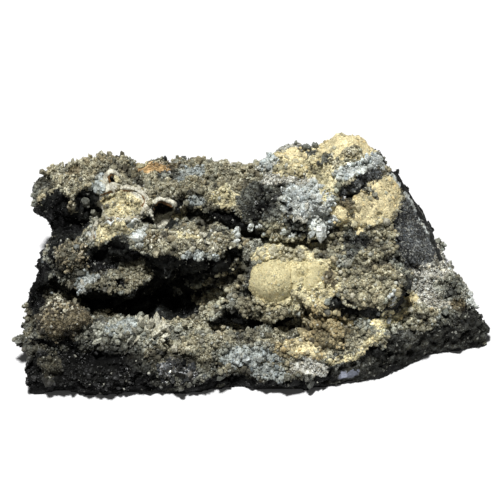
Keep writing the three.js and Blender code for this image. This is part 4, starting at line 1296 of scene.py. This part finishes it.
def grain_relief():
    """Height of a coarse and a fine mineral grain, laid over each other."""

    def lay(nodes, given):
        coarse = nodes.cells(given["Coarse"], nodes.place())["Distance"]
        fine = nodes.noise(given["Fine"], detail=4.0)
        shaped = nodes.maths("MULTIPLY", coarse, given["Coarse share"])
        return [nodes.maths("ADD", shaped, nodes.maths("MULTIPLY", fine, 0.5))]

    inputs = [
        ("Coarse", "NodeSocketFloat", 500.0),
        ("Fine", "NodeSocketFloat", 2200.0),
        ("Coarse share", "NodeSocketFloat", 0.7),
    ]
    return node_group("Grain relief", inputs, [("Height", "NodeSocketFloat")], lay)


def facet_gloss():
    """Roughness that jumps from facet to facet, so that some of them catch the light."""

    def lay(nodes, given):
        facet = nodes.split(nodes.cells(given["Scale"], nodes.place())["Color"])
        return [nodes.fit(facet[0], 0.3, 0.9, given["Rough"], given["Glossy"])]

    inputs = [
        ("Scale", "NodeSocketFloat", 500.0),
        ("Rough", "NodeSocketFloat", 0.6),
        ("Glossy", "NodeSocketFloat", 0.12),
    ]
    return node_group("Facet gloss", inputs, [("Roughness", "NodeSocketFloat")], lay)


def threadlike_veins():
    """Mask of thin pale veins that wander through the ore."""

    def lay(nodes, given):
        seams = nodes.cells(given["Scale"], nodes.bent_place(120.0, 0.006), "DISTANCE_TO_EDGE")
        thin = nodes.fit(seams["Distance"], given["Width"], 0.0)
        broken = nodes.fit(nodes.noise(260.0), 0.45, 0.6)
        return [nodes.maths("MULTIPLY", nodes.maths("MULTIPLY", thin, broken), given["Amount"])]

    inputs = [
        ("Scale", "NodeSocketFloat", 110.0),
        ("Width", "NodeSocketFloat", 0.06),
        ("Amount", "NodeSocketFloat", 1.0),
    ]
    return node_group("Thread veins", inputs, [("Mask", "NodeSocketFloat")], lay)


def place_group(nodes, tree, **values):
    """Places a node group and fills its inputs, underscores standing for spaces."""
    node = nodes.add("ShaderNodeGroup")
    node.node_tree = tree
    for key, value in values.items():
        nodes.feed(node.inputs[key.replace("_", " ")], value)
    return node


def new_material(name):
    """An empty material with its shader, and the short calls for its tree."""
    material = bpy.data.materials.new(name)
    material.use_nodes = True
    tree = material.node_tree
    return material, Nodes(tree), tree.nodes["Principled BSDF"]


def bumped(nodes, shader, height, strength, distance):
    """Feeds a height through a bump node into the shader's normal."""
    bump = nodes.add("ShaderNodeBump")
    bump.inputs["Strength"].default_value = strength
    bump.inputs["Distance"].default_value = distance
    nodes.join(height, bump.inputs["Height"])
    nodes.join(bump.outputs["Normal"], shader.inputs["Normal"])


def ore_block_material():
    """The rock's skin: grains in the painted colours with their painted light and shade, pinholes in the
    crusts painted near-black as shade, and veins in bare ore.
    """
    material, nodes, shader = new_material("Ore block")
    hue = nodes.attribute("hue", "Color")
    even = nodes.attribute("evenness")
    # Pale flecks: pale grains, and on the black ore painted glints.
    tones = {"Pale": nodes.blend(0.3, hue, (0.8, 0.8, 0.7, 1.0)), "Flecks": nodes.attribute("flecks")}
    grains = place_group(nodes, grain_mosaic(), Colour=hue, Even=even, Scale=950.0, **tones)
    veins = place_group(nodes, threadlike_veins(), Amount=nodes.attribute("veined"))
    veined = nodes.blend(veins.outputs["Mask"], grains.outputs["Colour"], (0.55, 0.56, 0.5, 1.0))
    holes = place_group(nodes, pinhole_scatter(), Amount=nodes.attribute("pinholes"))
    # Painted shade: the pinholes are painted near-black.
    colour = nodes.blend(holes.outputs["Mask"], veined, (0.03, 0.025, 0.02, 1.0))
    nodes.join(colour, shader.inputs["Base Color"])
    gloss = place_group(nodes, facet_gloss(), Scale=420.0, Rough=0.62, Glossy=0.25)
    dull = nodes.fit(nodes.noise(700.0), 0.3, 0.7, 0.72, 0.95)
    share = nodes.add("ShaderNodeMix", data_type="FLOAT")
    nodes.join(nodes.attribute("bareness"), share.inputs["Factor"])
    nodes.join(dull, share.inputs["A"])
    nodes.join(gloss.outputs["Roughness"], share.inputs["B"])
    nodes.join(share.outputs["Result"], shader.inputs["Roughness"])
    relief = place_group(nodes, grain_relief(), Coarse=420.0, Fine=1900.0, Coarse_share=0.5)
    calm = nodes.maths("MULTIPLY", relief.outputs["Height"], nodes.fit(even, 0.0, 1.0, 1.0, 0.8))
    grainy = nodes.maths("ADD", calm, grains.outputs["Height"])
    height = nodes.maths("SUBTRACT", grainy, holes.outputs["Mask"])
    bumped(nodes, shader, height, 0.75, 0.0005)
    shader.inputs["IOR"].default_value = 1.25
    return material


def crystal_material(name, root_shade_colour, root_shade_span, gloss, bump, even=0.2):
    """A crystal finish: the coat's colour in grains, one colour of painted shade at the roots and a fine
    surface grain.

    The root shade span is where the painted shade starts and stops thinning out, from root to tip, and the
    gloss is the roughness of the dullest and of the brightest facets.
    """
    material, nodes, shader = new_material(name)
    hue = nodes.attribute("hue", "Color")
    tones = {"Dark": (0.64, 0.61, 0.54, 1.0), "Even": even, "Flecks": 0.02}
    grains = place_group(nodes, grain_mosaic(), Colour=hue, Scale=1250.0, **tones)
    values = {"Dirt": root_shade_colour, "Tipness": nodes.attribute("tipness"), "From": root_shade_span[0], "To": root_shade_span[1]}
    root_shaded = place_group(nodes, root_shade(), Colour=grains.outputs["Colour"], **values)
    nodes.join(root_shaded.outputs["Colour"], shader.inputs["Base Color"])
    facets = place_group(nodes, facet_gloss(), Scale=500.0, Rough=gloss[0], Glossy=gloss[1])
    nodes.join(facets.outputs["Roughness"], shader.inputs["Roughness"])
    relief = place_group(nodes, grain_relief(), Coarse=1100.0, Fine=3200.0, Coarse_share=0.6)
    height = nodes.maths("ADD", relief.outputs["Height"], grains.outputs["Height"])
    bumped(nodes, shader, height, bump, 0.0003)
    return material, shader


def milky_quartz():
    """Bluish white quartz, with painted shade only near its roots and a faint wet look."""
    root_shade_colour = (0.35, 0.34, 0.3, 1.0)
    material, shader = crystal_material("Milky quartz", root_shade_colour, (0.05, 0.42), (0.62, 0.38), 0.35)
    shader.inputs["IOR"].default_value = 1.54
    shader.inputs["Coat Weight"].default_value = 0.15
    shader.inputs["Coat Roughness"].default_value = 0.35
    return material


def grey_quartz(name):
    """Grey or smoky quartz, with painted shade between its points."""
    root_shade_colour = (0.14, 0.13, 0.11, 1.0)
    material, shader = crystal_material(name, root_shade_colour, (0.1, 0.7), (0.65, 0.3), 0.4)
    shader.inputs["IOR"].default_value = 1.5
    return material


def carbonate(name, even=0.2):
    """Dull carbonate with brown painted shade between its crystals."""
    root_shade_colour = (0.19, 0.165, 0.115, 1.0)
    return crystal_material(name, root_shade_colour, (0.05, 0.65), (0.88, 0.6), 0.45, even)[0]


def shell():
    """The pale crust of the vug lips."""
    return crystal_material("Vug shell", (0.5, 0.45, 0.35, 1.0), (0.0, 0.2), (0.8, 0.45), 0.4)[0]


def sphalerite():
    """Black zinc ore with a few bright facets."""
    material, shader = crystal_material("Sphalerite", (0.3, 0.28, 0.24, 1.0), (0.1, 0.6), (0.6, 0.25), 0.3)
    shader.inputs["IOR"].default_value = 1.26
    return material


def galena_metal():
    """Lead-grey metal, bright on its cleaved faces."""
    material, shader = crystal_material("Galena", (0.25, 0.25, 0.24, 1.0), (0.1, 0.6), (0.42, 0.14), 0.2)
    shader.inputs["Metallic"].default_value = 0.85
    return material


# ---------------------------------------------------------------- settings


class SpecimenBlock(bpy.types.PropertyGroup):
    """Sizes of the ore block's skin."""

    cell: bpy.props.FloatProperty(
        name="Skin cell",
        description="Edge of one cell of the block's mesh",
        default=0.00091,
        unit="LENGTH",
    )
    facet_slope: bpy.props.FloatProperty(
        name="Facet slope",
        description="How steeply the facets of bare ore are tilted",
        default=0.42,
    )
    knob_depth: bpy.props.FloatProperty(
        name="Knob depth",
        description="Height of the knobs below a crust",
        default=0.0024,
        unit="LENGTH",
    )


def colour_setting(name, description, default):
    """A colour that can be changed in the sidebar."""
    return bpy.props.FloatVectorProperty(
        name=name,
        description=description,
        default=default,
        subtype="COLOR",
    )


class SpecimenColours(bpy.types.PropertyGroup):
    """Colours of the minerals, at their lightest."""

    sphalerite: colour_setting("Sphalerite", "Black zinc ore of the bare walls", (0.024, 0.026, 0.024))
    galena: colour_setting("Galena", "Lead-grey metal of the cubes", (0.36, 0.37, 0.375))
    grey_quartz: colour_setting("Grey quartz", "Common grey druse", (0.47, 0.48, 0.40))
    pale_quartz: colour_setting("Pale quartz", "Peppered druse of the right slope", (1.00, 1.00, 0.90))
    dark_quartz: colour_setting("Dark quartz", "Smoky blue-grey points", (0.20, 0.21, 0.18))
    blue_quartz: colour_setting("Blue quartz", "Blue-grey dusty crusts", (0.58, 0.63, 0.60))
    milky_quartz: colour_setting("Milky quartz", "Blue-white crusts and points", (0.80, 0.85, 0.82))
    lilac_face: colour_setting("Lilac face", "Smooth cleaved face at the front", (0.62, 0.66, 0.80))
    spray_quartz: colour_setting("Spray quartz", "Long cream-grey crystals", (0.78, 0.765, 0.62))
    tan_carbonate: colour_setting("Tan carbonate", "Common brownish druse", (0.57, 0.545, 0.40))
    brown_carbonate: colour_setting("Brown carbonate", "Dark brownish druse", (0.37, 0.32, 0.205))
    ochre_carbonate: colour_setting("Ochre carbonate", "Yellow-brown crust low down", (0.66, 0.575, 0.35))
    bead_carbonate: colour_setting("Bead carbonate", "Beady crust of the knob", (0.61, 0.58, 0.41))
    cream_carbonate: colour_setting("Cream carbonate", "Cream crust of the pockets", (0.85, 0.78, 0.50))
    dome_carbonate: colour_setting("Dome carbonate", "Smooth cream dome", (0.66, 0.59, 0.34))
    shell_carbonate: colour_setting("Shell carbonate", "Pale lips of the vugs", (0.77, 0.75, 0.62))
    rust: colour_setting("Rust", "Brown stain below the vug lips", (0.23, 0.12, 0.04))
    slate_ore: colour_setting("Slate ore", "Blue-grey ore of the right wall", (0.185, 0.20, 0.205))
    flecked_ore: colour_setting("Flecked ore", "Dark grey-green ore of the front", (0.15, 0.155, 0.138))
    clay: colour_setting("Clay", "Clay-like coat near the peak", (0.92, 0.81, 0.49))
    iron_stain: colour_setting("Iron stain", "Orange stain on the rear", (0.66, 0.45, 0.22))


class SpecimenDruse(bpy.types.PropertyGroup):
    """Sizes of the druse."""

    coarseness: bpy.props.FloatProperty(
        name="Coarseness",
        description="Scale of the crystals and of the space between them",
        default=1.0,
    )


class SpecimenStage(bpy.types.PropertyGroup):
    """The floor, the lights and the camera."""

    floor_colour: colour_setting("Floor colour", "Colour of the pale floor", (0.70, 0.70, 0.70))
    elevation: bpy.props.FloatProperty(
        name="Elevation",
        description="Camera's height above the horizon",
        default=math.radians(50),
        subtype="ANGLE",
    )
    distance: bpy.props.FloatProperty(
        name="Distance",
        description="Camera's distance from its target",
        default=1.1375,
        unit="LENGTH",
    )
    lens: bpy.props.FloatProperty(
        name="Lens",
        description="Focal length in millimetres",
        default=180.0,
    )
    key_strength: bpy.props.FloatProperty(
        name="Key light",
        description="Strength of the soft light above and behind",
        default=4.75,
    )
    key_softness: bpy.props.FloatProperty(
        name="Key softness",
        description="Width of the key light in the sky",
        default=math.radians(8),
        subtype="ANGLE",
    )
    fill_power: bpy.props.FloatProperty(
        name="Fill light",
        description="Power of the weak light in front",
        default=0.4,
        unit="POWER",
    )
    sky: bpy.props.FloatProperty(
        name="Sky",
        description="Strength of the even light all round",
        default=0.07,
    )


# ---------------------------------------------------------------- pieces


# Half the floor's width in metres.
FLOOR_HALF = 3.0
# Where the key light comes from, how far the fill light stands from the specimen's middle, and its width.
KEY_FROM = (-0.10, 0.09, 0.99)
FILL_OFFSET = (-0.5, -0.75, 0.45)
FILL_SIZE = 0.8
# The camera's sensor in millimetres, how many metres left of the middle it aims, and how far up the rock.
SENSOR = 36.0
AIM_LEFT = 0.0018
AIM_HEIGHT = 0.6


class SPECIMEN_OT_stage(bpy.types.Operator):
    """Makes the pale floor, the soft lights and the camera"""

    bl_idname = "specimen.stage"
    bl_label = "Stage"

    def execute(self, context):
        stage = context.scene.specimen_stage
        low, high = (np.array(corner) for corner in CAD_BOX)
        middle = (low + high) / 2.0
        self.make_floor(stage)
        key = bpy.data.lights.new("key", "SUN")
        key.energy = stage.key_strength
        key.angle = stage.key_softness
        self.place_facing("key", key, Vector(), Vector(KEY_FROM))
        fill = bpy.data.lights.new("fill", "AREA")
        fill.size = FILL_SIZE
        fill.energy = stage.fill_power
        self.place_facing("fill", fill, Vector(middle), Vector(FILL_OFFSET))
        world = bpy.data.worlds.new("Studio")
        world.use_nodes = True
        background = world.node_tree.nodes["Background"]
        background.inputs["Color"].default_value = (1.0, 1.0, 1.0, 1.0)
        background.inputs["Strength"].default_value = stage.sky
        context.scene.world = world
        context.scene.view_settings.view_transform = "Standard"
        camera = bpy.data.cameras.new("camera")
        camera.lens = stage.lens
        camera.sensor_width = SENSOR
        back = Vector((0.0, -math.cos(stage.elevation), math.sin(stage.elevation)))
        target = Vector((middle[0] - AIM_LEFT, middle[1], AIM_HEIGHT * high[2]))
        context.scene.camera = self.place_facing("camera", camera, target, back * stage.distance)
        return {"FINISHED"}

    def make_floor(self, stage):
        """A wide pale floor with a hardly visible cloudiness."""
        material, nodes, shader = new_material("Pale floor")
        tone = (*stage.floor_colour, 1.0)
        cloudy = nodes.fit(nodes.noise(30.0), 0.3, 0.7, 0.0, 0.03)
        nodes.join(nodes.blend(cloudy, tone, (0.5, 0.5, 0.5, 1.0)), shader.inputs["Base Color"])
        shader.inputs["Roughness"].default_value = 0.9
        corners = np.array([(-1.0, -1.0, 0.0), (1.0, -1.0, 0.0), (1.0, 1.0, 0.0), (-1.0, 1.0, 0.0)])
        corners *= FLOOR_HALF / MM
        floor = make_mesh("floor", corners, np.array([(0, 1, 2, 3)]), material, True)

    def place_facing(self, name, data, target, offset):
        """A light or camera set off from its target and turned to face it."""
        item = bpy.data.objects.new(name, data)
        item.location = target + offset
        item.rotation_mode = "QUATERNION"
        item.rotation_quaternion = (-offset).to_track_quat("-Z", "Y")
        bpy.context.scene.collection.objects.link(item)
        return item


class SPECIMEN_OT_block(bpy.types.Operator):
    """Makes the ore block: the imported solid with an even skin, relief and painted coats"""

    bl_idname = "specimen.block"
    bl_label = "Ore block"

    def execute(self, context):
        sizes = context.scene.specimen_block
        skin = remeshed_solid(sizes.cell)
        points, triangles, normals = mesh_arrays(skin)
        coats = coat_numbers(points, normals)
        pits = pit_depth(points) * coat_values("pits", coats)
        crevices = crevice_share(points)
        rise = self.relief(points, coats, sizes)
        # Painted light and shade: darker in hollows, pits, crevices and shaded places, lighter on rises and
        # in lit places.
        light_level = np.maximum(cleanness(points, rise, pits), coat_values("least", coats))
        light_level *= 1.0 - CREVICE_SHADE * crevices
        foot = np.clip((points[:, 2] - FLAT_FOOT) / FOOT_FADE, 0.0, 1.0)
        rise = (rise + swelling(points) - PIT_DROP * pits - CREVICE_DROP * crevices) * foot
        points = points + normals * rise[:, None]
        points[:, 0] += notch_depth(points)
        points[:, 2] = np.maximum(points[:, 2], 0.0)
        colours = np.array([mineral(coat.colour) for coat in COATS])
        # The hue is the coat's colour times the painted light level, so it carries the painted light and
        # shade.
        hue = colours[coats] * (light_level * (1.0 + 0.3 * rough_noise(points, 5.0, seed=51)))[:, None]
        floats = {
            "bareness": coat_values("relief", coats) == "broken",
            "evenness": coat_values("even", coats),
            "flecks": coat_values("flecks", coats),
            "pinholes": coat_values("pinholes", coats),
            "veined": VEINED_ORE.tone * np.sqrt(closeness(points, VEINED_ORE)),
            "cleanness": light_level,
            "coat": coats,
        }
        material = ore_block_material()
        block = make_mesh("ore_block", points, triangles, material, True, floats, {"hue": hue})
        settle(block)
        bpy.data.meshes.remove(skin)
        return {"FINISHED"}

    def relief(self, points, coats, sizes):
        """How far each point stands off the solid, by the relief of its coat."""
        depth = sizes.knob_depth / MM
        slope = sizes.facet_slope
        waves = 1.7 * rough_noise(points, 12.0, seed=66)
        fine = 0.35 * smooth_noise(points, 2.2, seed=67)
        small_knobs = knobbly_relief(points, 2.1, depth, seed=68)
        broken = broken_relief(points, 8.0, slope, seed=61)
        broken += 0.4 * broken_relief(points, 4.0, slope, seed=62)
        knobbly = waves + knobbly_relief(points, 7.0, depth, seed=63)
        knobbly += 0.45 * knobbly_relief(points, 3.6, depth, seed=64)
        knobbly += 0.22 * small_knobs + fine
        rugged = broken_relief(points, 5.0, 0.45, seed=69)
        rugged += 0.6 * broken_relief(points, 2.6, 0.5, seed=70)
        rugged += 0.7 * waves
        smooth = 0.6 * rough_noise(points, 6.0, seed=65) + 0.5 * fine
        lumpy = smooth + 0.3 * knobbly_relief(points, 4.5, depth, seed=71) + 0.12 * small_knobs
        reliefs = {"broken": broken, "knobbly": knobbly, "rugged": rugged, "lumpy": lumpy, "smooth": smooth}
        kinds = coat_values("relief", coats)
        return sum(np.where(kinds == kind, rise, 0.0) for kind, rise in reliefs.items())


class SPECIMEN_OT_sphalerite_grains(bpy.types.Operator):
    """Grows angular black grains over the bare ore"""

    bl_idname = "specimen.sphalerite_grains"
    bl_label = "Sphalerite grains"

    def execute(self, context):
        druse_piece("sphalerite_grains", 101, sphalerite())
        return {"FINISHED"}


class SPECIMEN_OT_grey_druse(bpy.types.Operator):
    """Grows grey quartz druse"""

    bl_idname = "specimen.grey_druse"
    bl_label = "Grey druse"

    def execute(self, context):
        druse_piece("grey_druse", 102, grey_quartz("Grey quartz"))
        return {"FINISHED"}


class SPECIMEN_OT_peppered_druse(bpy.types.Operator):
    """Grows the pale, dark-pitted druse of the right slope"""

    bl_idname = "specimen.peppered_druse"
    bl_label = "Peppered druse"

    def execute(self, context):
        druse_piece("peppered_druse", 108, grey_quartz("Pale quartz"))
        return {"FINISHED"}


class SPECIMEN_OT_tan_druse(bpy.types.Operator):
    """Grows tan and brown carbonate druse"""

    bl_idname = "specimen.tan_druse"
    bl_label = "Tan druse"

    def execute(self, context):
        druse_piece("tan_druse", 103, carbonate("Tan carbonate"))
        return {"FINISHED"}


class SPECIMEN_OT_cream_crust(bpy.types.Operator):
    """Grows the cream crust of small lumps, and the few lumps on the stained skin"""

    bl_idname = "specimen.cream_crust"
    bl_label = "Cream crust"

    def execute(self, context):
        druse_piece("cream_crust", 104, carbonate("Cream carbonate", 0.7))
        return {"FINISHED"}


class SPECIMEN_OT_bead_crust(bpy.types.Operator):
    """Grows the beady crust of the knob and the walls round it"""

    bl_idname = "specimen.bead_crust"
    bl_label = "Bead crust"

    def execute(self, context):
        druse_piece("bead_crust", 105, carbonate("Bead carbonate"), smooth=True)
        return {"FINISHED"}


class SPECIMEN_OT_white_quartz(bpy.types.Operator):
    """Grows the blue-white quartz crusts"""

    bl_idname = "specimen.white_quartz"
    bl_label = "White quartz"

    def execute(self, context):
        druse_piece("white_quartz", 106, milky_quartz())
        return {"FINISHED"}


class SPECIMEN_OT_vug_rims(bpy.types.Operator):
    """Makes the pale crusty lips round the vugs"""

    bl_idname = "specimen.vug_rims"
    bl_label = "Vug rims"

    def execute(self, context):
        rock = Rock()
        parts, first = [], 0
        for rim in RIMS:
            parts.append(rim_batch(rim, rock, first))
            first += len(parts[-1][0])
        vertices, faces, colours = (np.concatenate(column) for column in zip(*parts))
        tipness = {"tipness": np.ones(len(vertices))}
        piece = make_mesh("vug_rims", vertices, faces, shell(), True, tipness, {"hue": colours})
        settle(piece)
        return {"FINISHED"}


class SPECIMEN_OT_galena(bpy.types.Operator):
    """Grows bright galena cubes"""

    bl_idname = "specimen.galena"
    bl_label = "Galena cubes"

    def execute(self, context):
        druse_piece("galena_cubes", 107, galena_metal())
        return {"FINISHED"}


class SPECIMEN_OT_quartz_points(bpy.types.Operator):
    """Grows the large quartz points, beads and sprays that stand out singly"""

    bl_idname = "specimen.quartz_points"
    bl_label = "Quartz points"

    def execute(self, context):
        tuft_piece("quartz_points", QUARTZ_TUFTS, 109, milky_quartz())
        return {"FINISHED"}


class SPECIMEN_OT_dark_points(bpy.types.Operator):
    """Grows the smoky points of the rear edge and the black hole, and the crest's brown needles"""

    bl_idname = "specimen.dark_points"
    bl_label = "Dark points"

    def execute(self, context):
        tuft_piece("dark_points", DARK_TUFTS, 110, grey_quartz("Smoky quartz"))
        return {"FINISHED"}


# ---------------------------------------------------------------- add-on

PIECES = (
    SPECIMEN_OT_stage,
    SPECIMEN_OT_block,
    SPECIMEN_OT_sphalerite_grains,
    SPECIMEN_OT_grey_druse,
    SPECIMEN_OT_peppered_druse,
    SPECIMEN_OT_tan_druse,
    SPECIMEN_OT_cream_crust,
    SPECIMEN_OT_bead_crust,
    SPECIMEN_OT_white_quartz,
    SPECIMEN_OT_galena,
    SPECIMEN_OT_vug_rims,
    SPECIMEN_OT_quartz_points,
    SPECIMEN_OT_dark_points,
)


class SPECIMEN_PT_panel(bpy.types.Panel):
    """Lists the steps of the build and their settings"""

    bl_idname = "SPECIMEN_PT_panel"
    bl_label = "Galena specimen"
    bl_space_type = "VIEW_3D"
    bl_region_type = "UI"
    bl_category = "Specimen"

    def draw(self, context):
        """Shows the settings, then a button for each step"""
        for name in SETTINGS:
            group = getattr(context.scene, name)
            for key in group.__annotations__:
                self.layout.prop(group, key)
        for piece in PIECES:
            self.layout.operator(piece.bl_idname)


SETTINGS = {
    "specimen_block": SpecimenBlock,
    "specimen_colours": SpecimenColours,
    "specimen_druse": SpecimenDruse,
    "specimen_stage": SpecimenStage,
}
CLASSES = (*SETTINGS.values(), *PIECES, SPECIMEN_PT_panel)


def register():
    """Adds the settings, the steps and the panel."""
    for item in CLASSES:
        bpy.utils.register_class(item)
    for name, group in SETTINGS.items():
        setattr(bpy.types.Scene, name, bpy.props.PointerProperty(type=group))


def unregister():
    """Takes the panel, the steps and the settings away again."""
    for name in SETTINGS:
        delattr(bpy.types.Scene, name)
    for item in reversed(CLASSES):
        bpy.utils.unregister_class(item)


def main():
    """Registers the add-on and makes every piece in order."""
    register()
    for piece in PIECES:
        family, step = piece.bl_idname.split(".")
        getattr(getattr(bpy.ops, family), step)()


if __name__ == "__main__":
    main()
